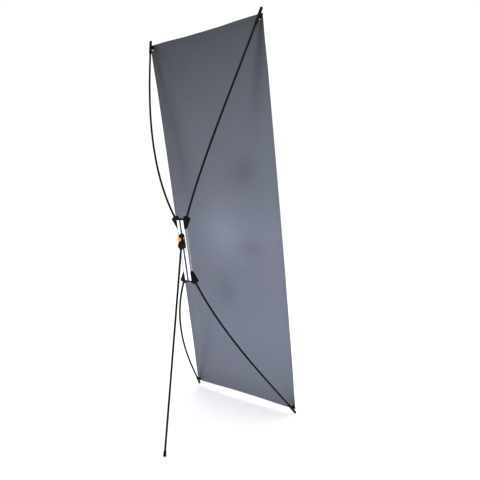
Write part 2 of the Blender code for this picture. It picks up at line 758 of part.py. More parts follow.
def build_slider(carriage, looks):
    reach = 0.02
    block = finish_mesh(
        "slider_block", prism(slider_rear_outline(), GAP, 0.03, 1), looks["black"], carriage
    )
    side_cut = finish_mesh("slider_side", prism(slider_side_outline(), -reach, reach, 0), None, carriage)
    boolean(block, side_cut, "INTERSECT")
    half_tongue = SLOT_MOUTH / 2 - GAP
    tongue_foot = -SLIDER_PIVOT_DROP - 0.7 * YOKE_SKIRT
    tongue = box((-half_tongue, -TONGUE_DEPTH, tongue_foot), (half_tongue, 0.003, 0.8 * SLIDER_NOSE))
    boolean(block, finish_mesh("slider_tongue", tongue, None, carriage), "UNION")
    gap, ceiling = YOKE_GAP / 2, PIVOT_STANDOFF - YOKE_FLOOR + 4 * GAP - SLIDER_PIVOT_DROP
    cuts = bmesh.new()
    add_box(cuts, (-gap, YOKE_FLOOR, -0.06), (gap, 0.04, ceiling))
    half_bar = BAR_HEIGHT / 2 + GAP
    add_box(cuts, (-reach, -0.0001, -half_bar), (reach, 2 * GAP + BAR_THICKNESS, half_bar))
    boolean(block, finish_mesh("slider_slots", cuts, None, carriage))
    holes = bmesh.new()
    stud = STUD_DIAMETER / 2 + GAP
    add_turned(holes, [(-0.01, stud), (0.03, stud)], (0, 0, 0), (0, 1, 0), 16)
    boolean(block, finish_mesh("slider_stud_hole", holes, None, carriage))
    pin = LEG_PIN_DIAMETER / 2 + PLAY
    pivot = (0, PIVOT_STANDOFF, -SLIDER_PIVOT_DROP)
    hole = turned([(-reach, pin), (reach, pin)], pivot, (1, 0, 0), 20)
    boolean(block, finish_mesh("slider_pin_hole", hole, None, carriage))
    build_nut(carriage, looks)
    build_bar(carriage, looks)
    length = YOKE_GAP / 2 + YOKE_CHEEK - 0.0010
    pin_radius = LEG_PIN_DIAMETER / 2
    pin_profile = [(-length, pin_radius * 0.8), (-length + 0.0004, pin_radius)]
    pin_profile += [(-along, radius) for along, radius in reversed(pin_profile)]
    finish_mesh("leg_pin", turned(pin_profile, pivot, (1, 0, 0), 20), looks["steel"], carriage)


def build_nut(carriage, looks):
    """The plate inside the groove that the stud screws into."""
    half = SLOT_WIDTH / 2 - GAP
    top = -SLOT_LIP - GAP
    nut = box((-half, top - NUT_THICKNESS, -NUT_LENGTH / 2), (half, top, NUT_LENGTH / 2))
    plate = finish_mesh("clamp_nut", nut, looks["steel"], carriage)
    soften(plate, 0.0005, 1)
    stud = STUD_DIAMETER / 2 + PLAY
    hole = turned([(-0.02, stud), (0.02, stud)], (0, 0, 0), (0, 1, 0), 16)
    boolean(plate, finish_mesh("clamp_nut_thread", hole, None, carriage))


def build_bar(carriage, looks):
    """The orange bar under the slider, whose ends show at both sides."""
    half = LOBE_HALF + BAR_PEEK
    shape = box((-half, GAP, -BAR_HEIGHT / 2), (half, GAP + BAR_THICKNESS, BAR_HEIGHT / 2))
    bar = finish_mesh("clamp_bar", shape, looks["orange"], carriage)
    soften(bar, 0.0007, 2)
    stud = STUD_DIAMETER / 2 + GAP
    hole = turned([(-0.02, stud), (0.02, stud)], (0, 0, 0), (0, 1, 0), 16)
    boolean(bar, finish_mesh("clamp_bar_hole", hole, None, carriage))


def build_knob(spindle, looks):
    """A lobed grip with a domed face on a round neck, turned on by a stud that reaches the nut."""
    count = KNOB_LOBES * 6
    grip = KNOB_SEAT + KNOB_NECK
    rings = [(0.0, 0.80), (0.08, 0.93), (0.19, 1.0), (0.65, 1.0), (0.86, 0.93), (0.97, 0.70)]
    turns = [2 * pi * k / count for k in range(count)]
    lobes = [KNOB_DIAMETER / 2 - KNOB_SCALLOP * (1 - cos(KNOB_LOBES * turn)) / 2 for turn in turns]
    sections = [(height, [NECK_DIAMETER / 2] * count) for height in (KNOB_SEAT, grip)]
    sections += [(grip + rise * KNOB_HEIGHT, [share * radius for radius in lobes]) for rise, share in rings]
    shape = bmesh.new()
    rows = []
    for height, radii in sections:
        spots = [(radius * cos(turn), height, radius * sin(turn)) for radius, turn in zip(radii, turns)]
        rows.append([shape.verts.new(spot) for spot in spots])
    for first, second in zip(rows, rows[1:]):
        for k in range(count):
            m = (k + 1) % count
            shape.faces.new((first[k], first[m], second[m], second[k]))
    crown = shape.verts.new((0, grip + KNOB_HEIGHT, 0))
    for k in range(count):
        shape.faces.new((rows[-1][k], rows[-1][(k + 1) % count], crown))
    shape.faces.new(rows[0])
    knob = finish_mesh("clamp_knob", shape, looks["orange"], spindle)
    depth = grip + 0.6 * KNOB_HEIGHT
    seat = [(0.0, STUD_DIAMETER / 2 + GAP), (depth, STUD_DIAMETER / 2 + GAP)]
    boolean(knob, finish_mesh("knob_seat", turned(seat, (0, 0, 0), (0, 1, 0), 16), None, spindle))
    foot = -SLOT_LIP - GAP - NUT_THICKNESS
    stud = [(foot, STUD_DIAMETER * 0.4), (foot + 0.0006, STUD_DIAMETER / 2)]
    stud += [(depth - GAP, STUD_DIAMETER / 2)]
    finish_mesh("clamp_stud", turned(stud, (0, 0, 0), (0, 1, 0), 16), looks["steel"], spindle)


# Leg. Its frame lies on the pivot pin, with -Z along the leg.

def leg_view(behind, up):
    """A point of the slider's frame, from the pivot, seen in the leg's own frame."""
    return (
        behind * cos(LEG_SPLAY) + up * sin(LEG_SPLAY),
        -behind * sin(LEG_SPLAY) + up * cos(LEG_SPLAY),
    )


def build_holder(leg, looks):
    """A knuckle with a heel that meets the yoke's floor when the leg is open, and a socket."""
    heel = PIVOT_STANDOFF - YOKE_FLOOR - GAP
    corner = [leg_view(-heel, HEEL_HEIGHT), leg_view(-heel, 0.0)]
    start = atan2(-KNUCKLE_RADIUS * 0.25, -KNUCKLE_RADIUS)
    outline = arc((0, 0), KNUCKLE_RADIUS, start, start + 1.42 * pi, 16) + corner
    half = YOKE_GAP / 2 - GAP
    holder = finish_mesh("leg_holder", prism(outline, -half, half, 0), looks["black"], leg)
    soften(holder, 0.0005, 1)
    tube = [(0.0, HOLDER_RADIUS), (HOLDER_LENGTH - 0.001, HOLDER_RADIUS)]
    tube.append((HOLDER_LENGTH, HOLDER_RADIUS * 0.88))
    socket = turned(tube, (0, 0, 0), (0, 0, -1), 20)
    boolean(holder, finish_mesh("leg_holder_socket", socket, None, leg), "UNION")
    bore = [(HOLDER_LENGTH - HOLDER_BORE_DEPTH, ROD_BORE), (HOLDER_LENGTH + 0.01, ROD_BORE)]
    boolean(holder, finish_mesh("leg_holder_bore", turned(bore, (0, 0, 0), (0, 0, -1), 20), None, leg))
    pin = LEG_PIN_DIAMETER / 2 + PLAY
    hole = turned([(-0.02, pin), (0.02, pin)], (0, 0, 0), (1, 0, 0), 20)
    boolean(holder, finish_mesh("leg_holder_pin_hole", hole, None, leg))


def build_foot(leg, reach, floor_box, looks):
    """Rubber foot, pressed flat where it meets the floor; reach is the length down to its ball."""
    radius, collar = FOOT_RADIUS, ROD_BORE + FOOT_COLLAR_WALL
    top = reach - (FOOT_LENGTH - radius)
    profile = [(top, collar), (top + 0.0015, collar + 0.0003)]
    profile += [(top + 0.55 * FOOT_LENGTH, radius * 0.93), (reach, radius)]
    profile += round_nose(reach, radius, 5)
    foot = finish_mesh("leg_foot", turned(profile, (0, 0, 0), (0, 0, -1), 20), looks["rubber"], leg)
    bore = [(top - 0.01, ROD_BORE), (top + FOOT_BORE_DEPTH, ROD_BORE)]
    boolean(foot, finish_mesh("leg_foot_bore", turned(bore, (0, 0, 0), (0, 0, -1), 20), None, leg))
    boolean(foot, floor_box)
    start = HOLDER_LENGTH - HOLDER_BORE_DEPTH + GAP
    end = top + FOOT_BORE_DEPTH - GAP
    steps = 4
    route = [(0, 0, -(start + (end - start) * k / steps)) for k in range(steps + 1)]
    build_rod("leg_pole", route, POLE_DIAMETER, leg, looks)


# Whole stand

def floor_drop():
    """How far the lower tips' noses reach below the sheet's lower corner, upright to the floor."""
    nose = tip_spot(1, -1) + (TIP_NOSE - TIP_RADIUS) * tip_axis(1, -1)
    up = nose.z + HUB_HEIGHT
    behind = nose.y + PROFILE_SETBACK
    return TIP_RADIUS - (up * cos(LEAN) - behind * sin(LEAN))


def middle_of_depth():
    """The middle of everything that is rendered, along Y."""
    bpy.context.view_layer.update()
    graph = bpy.context.evaluated_depsgraph_get()
    depths = []
    for made in bpy.context.scene.objects:
        if made.type == "EMPTY" or made.hide_render:
            continue
        solid = made.evaluated_get(graph)
        mesh = solid.to_mesh()
        depths += [(solid.matrix_world @ vertex.co).y for vertex in mesh.vertices]
        solid.to_mesh_clear()
    return (min(depths) + max(depths)) / 2


def build_stand():
    looks = {
        "sheet": material("banner_sheet", (0.19, 0.21, 0.26), 0.55),
        "nickel": material("eyelets", (0.72, 0.71, 0.69), 0.25, 1.0),
        "silver": material("profile", (0.80, 0.80, 0.82), 0.35, 0.9),
        "black": material("mouldings", (0.02, 0.02, 0.022), 0.45),
        "fibre": material("poles", (0.018, 0.018, 0.02), 0.35),
        "steel": material("steel", (0.55, 0.55, 0.56), 0.3, 1.0),
        "orange": material("clamp", (0.95, 0.35, 0.05), 0.4),
        "rubber": material("rubber", (0.02, 0.02, 0.02), 0.8),
    }
    stand = empty("stand")
    leaning = empty("leaning_frame", stand, (0, 0, floor_drop()), (-LEAN, 0, 0))
    hub = empty("hub_frame", leaning, (0, PROFILE_SETBACK, HUB_HEIGHT))
    carriage = empty("slider_frame", hub, (0, 0, SLIDER_REACH))
    spindle = empty("knob_frame", carriage)
    pivot = (0, PIVOT_STANDOFF, -SLIDER_PIVOT_DROP)
    leg = empty("leg_frame", carriage, pivot, (LEG_SPLAY, 0, 0))
    build_profile(hub, looks)
    for name, end in (("upper", 1), ("lower", -1)):
        build_cap("end_cap_" + name, end, hub, looks)
        for hand, side in (("right", 1), ("left", -1)):
            build_screw("cap_screw_" + name + "_" + hand, end, side, hub, looks)
    for corner in SIDES:
        build_arm(corner, hub, looks)
    build_sheet(hub, looks)
    build_slider(carriage, looks)
    build_knob(spindle, looks)
    build_holder(leg, looks)
    bpy.context.view_layer.update()
    floor_box = finish_mesh("floor_box", box((-0.1, -1, -0.1), (0.1, 2, 0)), None, stand)
    ball_height = FOOT_RADIUS - FOOT_FLAT
    reach = (leg.matrix_world.translation.z - ball_height) / cos(LEG_SPLAY - LEAN)
    build_foot(leg, reach, floor_box, looks)
    stand.location.y = -middle_of_depth()


clear_scene()
build_stand()
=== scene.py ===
import json
from math import atan2, cos, exp, pi, radians, sin, tan

import bmesh
import bpy
from mathutils import Matrix, Vector, noise


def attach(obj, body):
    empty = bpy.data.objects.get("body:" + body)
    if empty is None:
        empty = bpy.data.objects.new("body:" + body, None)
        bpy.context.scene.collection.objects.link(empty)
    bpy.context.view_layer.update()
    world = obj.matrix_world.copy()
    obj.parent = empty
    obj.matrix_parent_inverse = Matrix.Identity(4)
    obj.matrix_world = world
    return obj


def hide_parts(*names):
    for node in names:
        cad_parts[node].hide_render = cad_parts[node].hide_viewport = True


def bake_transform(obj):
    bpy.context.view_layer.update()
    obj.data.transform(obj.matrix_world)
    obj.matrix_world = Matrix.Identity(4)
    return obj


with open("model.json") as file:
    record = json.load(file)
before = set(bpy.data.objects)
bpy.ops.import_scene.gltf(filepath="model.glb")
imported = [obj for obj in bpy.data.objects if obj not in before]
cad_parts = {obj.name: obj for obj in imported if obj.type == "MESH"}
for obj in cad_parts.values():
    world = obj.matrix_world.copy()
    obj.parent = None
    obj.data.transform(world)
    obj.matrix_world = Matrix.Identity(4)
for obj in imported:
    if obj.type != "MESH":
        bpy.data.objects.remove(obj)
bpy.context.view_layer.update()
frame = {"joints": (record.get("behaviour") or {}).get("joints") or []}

fits = {"gap": 0.0003, "play": 0.00015, "rod": 0.00025}  # shared clearances; all sizes are in metres
gap, play = fits["gap"], fits["play"]
sides = {"upper_right": (1, 1), "upper_left": (-1, 1), "lower_right": (1, -1), "lower_left": (-1, -1)}
origin, sideways, rearwards = (0, 0, 0), (1, 0, 0), (0, 1, 0)
upwards, downwards = (0, 0, 1), (0, 0, -1)


# frames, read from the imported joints

profile = {
    "length": 0.265, "width": 0.035, "depth": 0.020, "corner": 0.0030, "wall": 0.0018, "channelWall": 0.0016,
    "mouth": 0.0080, "lip": 0.0022, "slotWidth": 0.0145, "slotHeight": 0.0057, "slotFillet": 0.0006,
    # the pale strip along the front of each side is a painted highlight
    "highlightStripWidth": 0.0026,
}
# the setback is from the sheet's plane to the profile's rear face
sheet = {"width": 0.600, "height": 1.800, "thickness": 0.0005, "setback": 0.317}
legSplay = radians(19.4)
jointNamed = {joint["name"]: joint for joint in frame["joints"]}


def jointSpot(name):
    return Vector(jointNamed[name]["pos_m"])


topPins = (jointSpot("upper_right_fold") + jointSpot("upper_left_fold")) / 2
lowPins = (jointSpot("lower_right_fold") + jointSpot("lower_left_fold")) / 2
upAxis = (topPins - lowPins).normalized()
rearAxis = Vector((0, upAxis.z, -upAxis.y))
turn = Matrix((Vector(sideways), rearAxis, upAxis)).transposed()  # columns are the stand's own axes
lean = atan2(upAxis.y, upAxis.z)


def frameAt(spot):
    return Matrix.Translation(spot) @ turn.to_4x4()


hubOrigin = (topPins + lowPins) / 2 + rearAxis * profile["depth"] / 2  # the profile's rear face, mid length
hubFrame = frameAt(hubOrigin)
pinFrames = {corner: frameAt(jointSpot(corner + "_fold")) for corner in sides}
sliderFrame = frameAt(jointSpot("knob_turn"))
legFrame = frameAt(jointSpot("leg_fold")) @ Matrix.Rotation(legSplay, 4, "X")
print("frames ready, lean", round(lean * 180 / pi, 2))


# camera, as the photograph has it

# focal, middle and image are in the photograph's pixels, sensor is in millimetres
camera = {
    "fromHub": (-1.05787, 1.30004, 0.17455), "yaw": 33.688, "pitch": 2.321, "roll": 0.683,
    "focal": 397.75, "middle": (222, 226), "image": 480, "sensor": 36,
}


def addObject(name, data):
    made = bpy.data.objects.new(name, data)
    bpy.context.scene.collection.objects.link(made)
    return made


def placeCamera():
    yaw, pitch, roll = (radians(camera[key]) for key in ("yaw", "pitch", "roll"))
    ahead = Vector((sin(yaw) * cos(pitch), -cos(yaw) * cos(pitch), -sin(pitch)))
    right = ahead.cross(Vector(upwards)).normalized()
    above = right.cross(ahead)
    across = cos(roll) * right + sin(roll) * above
    upright = -sin(roll) * right + cos(roll) * above
    lens = bpy.data.cameras.new("photoCamera")
    lens.sensor_width = camera["sensor"]
    lens.lens = camera["sensor"] * camera["focal"] / camera["image"]
    lens.shift_x = 0.5 - camera["middle"][0] / camera["image"]
    lens.shift_y = camera["middle"][1] / camera["image"] - 0.5
    lens.clip_start, lens.clip_end = 0.01, 60
    holder = addObject("photoCamera", lens)
    spot = Matrix.Translation(hubOrigin + Vector(camera["fromHub"]))
    holder.matrix_world = spot @ Matrix((across, upright, -ahead)).transposed().to_4x4()
    bpy.context.scene.camera = holder


placeCamera()
print("camera placed")


# node tools

def feed(tree, node, inputs):
    # an input takes a value, or the output of another node
    for key, value in inputs.items():
        if isinstance(value, bpy.types.NodeSocket):
            tree.links.new(value, node.inputs[key])
        else:
            node.inputs[key].default_value = value


def addNode(tree, kind, settings=None, **inputs):
    made = tree.nodes.new(kind)
    for key, value in (settings or {}).items():
        setattr(made, key, value)
    feed(tree, made, {key.replace("_", " "): value for key, value in inputs.items()})
    return made


def maths(tree, operation, *values):
    made = addNode(tree, "ShaderNodeMath", {"operation": operation})
    feed(tree, made, dict(enumerate(values)))
    return made.outputs[0]


def vectorOf(tree, **parts):
    return addNode(tree, "ShaderNodeCombineXYZ", **parts).outputs["Vector"]


# materials

noiseSpan = (0.3, 0.7)  # where most of a noise texture's values lie


def newMaterial(name):
    made = bpy.data.materials.new(name)
    made.use_nodes = True
    return made, made.node_tree, made.node_tree.nodes["Principled BSDF"]


def coordinates(tree, scale=(1, 1, 1), along=False, uv=False):
    spot = tree.nodes.new("ShaderNodeTexCoord").outputs["UV" if uv else "Object"]
    mapping = addNode(tree, "ShaderNodeMapping", Vector=spot, Scale=scale)
    if along:
        mapping.inputs["Rotation"].default_value = (lean, 0, 0)  # stands the pattern up along the profile
    return mapping.outputs["Vector"]


def noiseFrom(tree, spots, scale, detail, roughness=0.5):
    made = addNode(tree, "ShaderNodeTexNoise", Vector=spots, Scale=scale, Detail=detail, Roughness=roughness)
    return made.outputs["Fac"]


def ramp(tree, source, stops):
    made = addNode(tree, "ShaderNodeValToRGB", Fac=source)
    band = made.color_ramp
    while len(band.elements) < len(stops):
        band.elements.new(0.5)
    for element, (place, color) in zip(band.elements, stops):
        element.position = place
        element.color = (*color, 1)
    return made.outputs["Color"]


def tinted(tree, source, dark, light, low=noiseSpan[0], high=noiseSpan[1]):
    return ramp(tree, source, [(low, dark), (high, light)])


def glossOf(tree, source, low, high):
    # roughness between two limits, by a noise
    made = addNode(tree, "ShaderNodeMapRange", Value=source, To_Min=low, To_Max=high)
    feed(tree, made, dict(zip(("From Min", "From Max"), noiseSpan)))
    return made.outputs["Result"]


def bumpFrom(tree, source, strength, distance, **under):
    made = addNode(tree, "ShaderNodeBump", Strength=strength, Distance=distance, Height=source, **under)
    return made.outputs["Normal"]


def plasticLook(name, dark, light, roughness, specular=0.5, grain=1400.0, depth=0.00004):
    # slow patches of tone and gloss, with a fine moulded grain
    made, tree, shader = newMaterial(name)
    spots = coordinates(tree)
    patches = noiseFrom(tree, spots, 60.0, 3.0, 0.55)
    fine = noiseFrom(tree, spots, grain, 2.0, 0.6)
    feed(tree, shader, {
        "Base Color": tinted(tree, patches, dark, light), "Roughness": glossOf(tree, patches, *roughness),
        "Specular IOR Level": specular, "Normal": bumpFrom(tree, fine, 0.35, depth),
    })
    return made


def streakLook(name, dark, light, roughness, metallic, stretch=(900, 900, 14), along=True):
    # drawn metal: fine lines along the profile, or a fine grain where stretch is even
    made, tree, shader = newMaterial(name)
    lines = noiseFrom(tree, coordinates(tree, stretch, along), 1.0, 4.0, 0.65)
    worn = noiseFrom(tree, coordinates(tree), 45.0, 3.0)
    feed(tree, shader, {
        "Base Color": tinted(tree, lines, dark, light, 0.25, 0.75), "Metallic": metallic,
        "Roughness": glossOf(tree, worn, *roughness), "Normal": bumpFrom(tree, lines, 0.25, 0.00003),
    })
    return made


def rodLook():
    # fibres lie along the rod: the map runs around it, then along it in metres
    made, tree, shader = newMaterial("coatedGlassFibre")
    fibres = noiseFrom(tree, coordinates(tree, (26, 3.0, 1), uv=True), 1.0, 5.0, 0.7)
    scuffs = noiseFrom(tree, coordinates(tree), 35.0, 4.0, 0.6)
    tint = tinted(tree, fibres, (0.003, 0.003, 0.0035), (0.009, 0.009, 0.010), high=0.75)
    feed(tree, shader, {
        "Base Color": tint, "Roughness": glossOf(tree, scuffs, 0.30, 0.48),
        "Specular IOR Level": 0.12, "Normal": bumpFrom(tree, fibres, 0.3, 0.00004),
    })
    return made


# waves is the texture's own scale, which gives one wave to each thread
weave = {"pitch": 0.0009, "depth": 0.00003, "waves": 0.3142, "uneven": 0.6}


def weaveBump(tree, flat):
    # threads both ways, as many as the sheet's size holds
    size = (sheet["width"] / weave["pitch"], sheet["height"] / weave["pitch"], 1.0)
    scrim = addNode(tree, "ShaderNodeMapping", Vector=flat, Scale=size).outputs["Vector"]
    threads = []
    for way in ("X", "Y"):
        bands = {"wave_type": "BANDS", "bands_direction": way}
        wave = addNode(tree, "ShaderNodeTexWave", bands, Vector=scrim, Scale=weave["waves"], Detail=1.0)
        wave.inputs["Distortion"].default_value = weave["uneven"]
        threads.append(wave.outputs["Fac"])
    return bumpFrom(tree, maths(tree, "MAXIMUM", *threads), 0.18, weave["depth"])


def sheetLook(name, stops, patchTints, strength, roughness, shaded=False):
    # stops: colour from the bottom edge to the top; patchTints: slow uneven shading over it
    # shaded: also painted shade and painted highlights, by the mesh's own attribute: darker along the creases
    # and side edges, lighter in a broad patch
    made, tree, shader = newMaterial(name)
    flat = coordinates(tree, uv=True)
    height = addNode(tree, "ShaderNodeSeparateXYZ", Vector=flat).outputs["Y"]
    patches = noiseFrom(tree, coordinates(tree), 4.5, 3.0)
    mixed = addNode(tree, "ShaderNodeMix", {"data_type": "RGBA", "blend_type": "MULTIPLY"}, Factor=strength)
    # inputs 6 and 7 are the two colours, and output 2 is their mix
    feed(tree, mixed, {6: ramp(tree, height, stops), 7: tinted(tree, patches, *patchTints)})
    tone = mixed.outputs[2]
    if shaded:
        # painted shade and painted highlights, read from the mesh's attribute
        crease = addNode(tree, "ShaderNodeAttribute", {"attribute_name": "creaseShade"})
        lit = maths(tree, "SUBTRACT", 1.0, crease.outputs["Fac"])
        scaled = addNode(tree, "ShaderNodeVectorMath", {"operation": "SCALE"}, Scale=lit)
        tree.links.new(tone, scaled.inputs[0])
        tone = scaled.outputs["Vector"]
    feed(tree, shader, {
        "Base Color": tone, "Roughness": glossOf(tree, patches, *roughness),
        "Normal": bumpFrom(tree, patches, 0.15, 0.002, Normal=weaveBump(tree, flat)),
    })
    return made


def plainFloorLook():
    made, tree, shader = newMaterial("paleFloor")
    tint = tinted(tree, noiseFrom(tree, coordinates(tree), 0.8, 2.0), (0.975,) * 3, (0.985,) * 3)
    feed(tree, shader, {"Base Color": tint, "Roughness": 0.9})
    return made


# painted shade: the back's grey grows darker towards the top edge, and a little darker at the very bottom
# edge, as the light falls on it
greyStopsWithPaintedShade = [
    (0.00, (0.144, 0.153, 0.192)), (0.06, (0.175, 0.190, 0.236)), (0.20, (0.181, 0.197, 0.250)),
    (0.38, (0.165, 0.177, 0.226)), (0.50, (0.166, 0.178, 0.225)), (0.62, (0.130, 0.141, 0.176)),
    (0.76, (0.109, 0.118, 0.147)), (0.88, (0.083, 0.090, 0.111)), (0.97, (0.059, 0.064, 0.080)),
    (1.00, (0.048, 0.053, 0.063)),
]
backTints, faceTints = ((0.91, 0.96, 0.95), (0.99, 0.97, 0.99)), ((0.96, 0.96, 0.97), (1.0, 1.0, 1.0))
whiteStops = [(0.0, (0.70, 0.70, 0.70)), (1.0, (0.73, 0.73, 0.73))]
platedGrain, zincGrain = (500, 500, 500), (700, 700, 700)
looks = {
    "back": sheetLook("greyBlockoutBack", greyStopsWithPaintedShade, backTints, 0.9, (0.5, 0.6), True),
    "front": sheetLook("whiteSheetFace", whiteStops, faceTints, 0.6, (0.32, 0.42)),
    "edge": plasticLook("cutSheetEdge", (0.45, 0.46, 0.50), (0.56, 0.57, 0.62), (0.5, 0.6)),
    "silver": streakLook(
        "satinAnodisedAluminium", (0.82, 0.83, 0.86), (0.92, 0.93, 0.95), (0.10, 0.17), 0.97),
    # painted shade: the profile's sides take a darker copy of the anodising, and the slot's walls a darker
    # metal; painted highlight: a pale strip along the front of each side
    "side": streakLook("satinAnodisedSide", (0.36, 0.37, 0.40), (0.45, 0.46, 0.50), (0.16, 0.24), 0.95),
    "lip": streakLook("paleAnodisedLip", (0.58, 0.59, 0.62), (0.68, 0.69, 0.72), (0.35, 0.50), 0.2),
    "groove": streakLook("bareGrooveMetal", (0.30, 0.30, 0.32), (0.42, 0.42, 0.44), (0.30, 0.42), 0.9),
    "black": plasticLook("blackMoulding", (0.003, 0.003, 0.0035), (0.008, 0.008, 0.009), (0.34, 0.48), 0.14),
    "fibre": rodLook(),
    "nickel": streakLook(
        "platedEyelet", (0.66, 0.65, 0.62), (0.80, 0.79, 0.77), (0.18, 0.30), 1.0, platedGrain, False),
    "steel": streakLook(
        "zincSteel", (0.46, 0.46, 0.47), (0.64, 0.64, 0.65), (0.24, 0.40), 1.0, zincGrain, False),
    "orange": plasticLook("orangeMoulding", (0.93, 0.27, 0.035), (1.0, 0.36, 0.07), (0.30, 0.42)),
    "rivet": plasticLook("blackCoatedSteel", (0.006, 0.006, 0.007), (0.014, 0.014, 0.015), (0.30, 0.42), 0.3),
    "rubber": plasticLook("softRubber", (0.005,) * 3, (0.010,) * 3, (0.65, 0.8), 0.14, 900.0, 0.00006),
    "floor": plainFloorLook(),
}
print("materials ready:", len(looks))


# mesh tools

edgeAngle = 38.0  # in degrees: where two faces turn by more, their edge stays sharp


def addPrism(shape, outline, low, high, axis):
    def point(pair, height):
        spot = list(pair)
        spot.insert(axis, height)
        return shape.verts.new(spot)

    near = [point(pair, low) for pair in outline]
    far = [point(pair, high) for pair in outline]
    shape.faces.new(near)
    shape.faces.new(far)
    for i in range(len(outline)):
        j = (i + 1) % len(outline)
        shape.faces.new((near[i], near[j], far[j], far[i]))
    return shape


def prism(outline, low, high, axis):
    return addPrism(bmesh.new(), outline, low, high, axis)


def addBox(shape, low, high):
    corners = [(low[0], low[1]), (high[0], low[1]), (high[0], high[1]), (low[0], high[1])]
    return addPrism(shape, corners, low[2], high[2], 2)


def box(low, high):
    return addBox(bmesh.new(), low, high)


def addTurned(shape, pairs, spot, direction, segments, ring=False):
    # pairs are (distance along, radius); a ring's pairs close on themselves
    swing = Vector(upwards).rotation_difference(Vector(direction))
    turns = [2 * pi * k / segments for k in range(segments)]
    rows = []
    for along, radius in pairs:
        spokes = [Vector((radius * cos(a), radius * sin(a), along)) for a in turns]
        if radius < 1e-7:
            spokes = [Vector((0, 0, along))]
        rows.append([shape.verts.new(Vector(spot) + swing @ spoke) for spoke in spokes])
    bands = list(zip(rows, rows[1:]))
    if ring:
        bands.append((rows[-1], rows[0]))
    for first, second in bands:
        for k in range(segments):
            m = (k + 1) % segments
            if len(first) == 1:
                shape.faces.new((first[0], second[m], second[k]))
            elif len(second) == 1:
                shape.faces.new((first[k], first[m], second[0]))
            else:
                shape.faces.new((first[k], first[m], second[m], second[k]))
    if not ring:
        for row in (rows[0], rows[-1]):
            if len(row) > 1:
                shape.faces.new(row)
    return shape


def turned(pairs, spot=origin, direction=upwards, segments=32, ring=False):
    return addTurned(bmesh.new(), pairs, spot, direction, segments, ring)


def dome(base, radius, steps=8):
    turns = [pi / 2 * k / steps for k in range(1, steps)]
    return [(base + radius * sin(a), radius * cos(a)) for a in turns] + [(base + radius, 0.0)]


def filletPair(pairs, size, steps=3):
    # rounds the corners of a turned section
    made = [pairs[0]]
    for before, here, after in zip(pairs, pairs[1:], pairs[2:]):
        a, h, b = Vector(before), Vector(here), Vector(after)
        reach = min(size, (a - h).length * 0.45, (b - h).length * 0.45)
        if reach < 1e-6 or (h - a).angle(b - h, 0.0) < 0.5:
            made.append(tuple(h))
            continue
        start, end = h + (a - h).normalized() * reach, h + (b - h).normalized() * reach
        for k in range(steps + 1):
            t = k / steps
            made.append(tuple((1 - t) ** 2 * start + 2 * t * (1 - t) * h + t * t * end))
    made.append(pairs[-1])
    return [(along, max(radius, 0.0)) for along, radius in made]


def arc(center, radius, start, end, steps):
    turns = [start + (end - start) * k / steps for k in range(steps + 1)]
    return [(center[0] + radius * cos(a), center[1] + radius * sin(a)) for a in turns]


def smoothOutline(points, steps=8):
    made, count = [], len(points)
    for i in range(count):
        before, here, there, after = (Vector(points[(i + k) % count]) for k in (-1, 0, 1, 2))
        for k in range(steps):
            t = k / steps
            bend = 2 * here + (there - before) * t + (2 * before - 5 * here + 4 * there - after) * t**2
            made.append(tuple(0.5 * (bend + (3 * here - 3 * there + after - before) * t**3)))
    return made


def mirrorOutline(half):
    return half + [(-x, z) for x, z in reversed(half)]


def ease(value, low, high):
    share = min(max((value - low) / (high - low), 0.0), 1.0)
    return share * share * (3 - 2 * share)


def solid(name, shape, look):
    bmesh.ops.recalc_face_normals(shape, faces=shape.faces)
    mesh = bpy.data.meshes.new(name)
    shape.to_mesh(mesh)
    shape.free()
    if look:
        mesh.materials.append(looks[look])
    return addObject(name, mesh)


def evaluatedMesh(made):
    graph = bpy.context.evaluated_depsgraph_get()
    graph.update()
    result = made.evaluated_get(graph)
    return bpy.data.meshes.new_from_object(result, preserve_all_data_layers=True, depsgraph=graph)


def settle(made):
    # the modifiers' result becomes the mesh
    fresh, old = evaluatedMesh(made), made.data
    made.modifiers.clear()
    made.data = fresh
    bpy.data.meshes.remove(old)


def carve(made, shape, operation="DIFFERENCE"):
    tool = solid(made.name + "Tool", shape, None)
    step = made.modifiers.new("carve", "BOOLEAN")
    step.operation, step.solver, step.object = operation, "EXACT", tool
    settle(made)
    bpy.data.meshes.remove(tool.data)


def weld(made, shape):
    carve(made, shape, "UNION")


def drill(made, radius, spot=origin, direction=rearwards, low=-0.02, high=0.02, segments=32):
    carve(made, turned([(low, radius), (high, radius)], spot, direction, segments))


def roundEdges(made, width, segments, angle=40.0):
    step = made.modifiers.new("rounded edges", "BEVEL")
    step.width, step.segments, step.limit_method = width, segments, "ANGLE"
    step.angle_limit = radians(angle)
    step.use_clamp_overlap = True
    settle(made)


def mend(mesh, outwards=False):
    # merges what meets, then drops slivers or turns the faces to the outside
    shape = bmesh.new()
    shape.from_mesh(mesh)
    bmesh.ops.remove_doubles(shape, verts=shape.verts, dist=1e-6)
    if outwards:
        bmesh.ops.recalc_face_normals(shape, faces=shape.faces)
    else:
        bmesh.ops.dissolve_degenerate(shape, edges=shape.edges, dist=1e-7)
    shape.to_mesh(mesh)
    shape.free()


def smoothPiece(made, place=None, smooth=edgeAngle):
    # puts the shape in its place and smooths what isn't an edge
    if place:
        made.data.transform(place)
    mend(made.data)
    made.data.shade_smooth()
    made.data.set_sharp_from_angle(angle=radians(smooth))
    return made


def mirrored(master, name, side, end):
    # a copy of a piece modelled for the upper right, turned to another corner
    mesh = master.data.copy()
    mesh.transform(Matrix.Diagonal((side, 1, end, 1)))
    mend(mesh, True)
    return addObject(name, mesh)


def rides(made, body, slot, *nodes):
    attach(made, body)
    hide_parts(*nodes)


def fitPiece(made, place, body, slot, node, smooth=edgeAngle):
    smoothPiece(made, place, smooth)
    rides(made, body, slot, node)


# geometry node tools

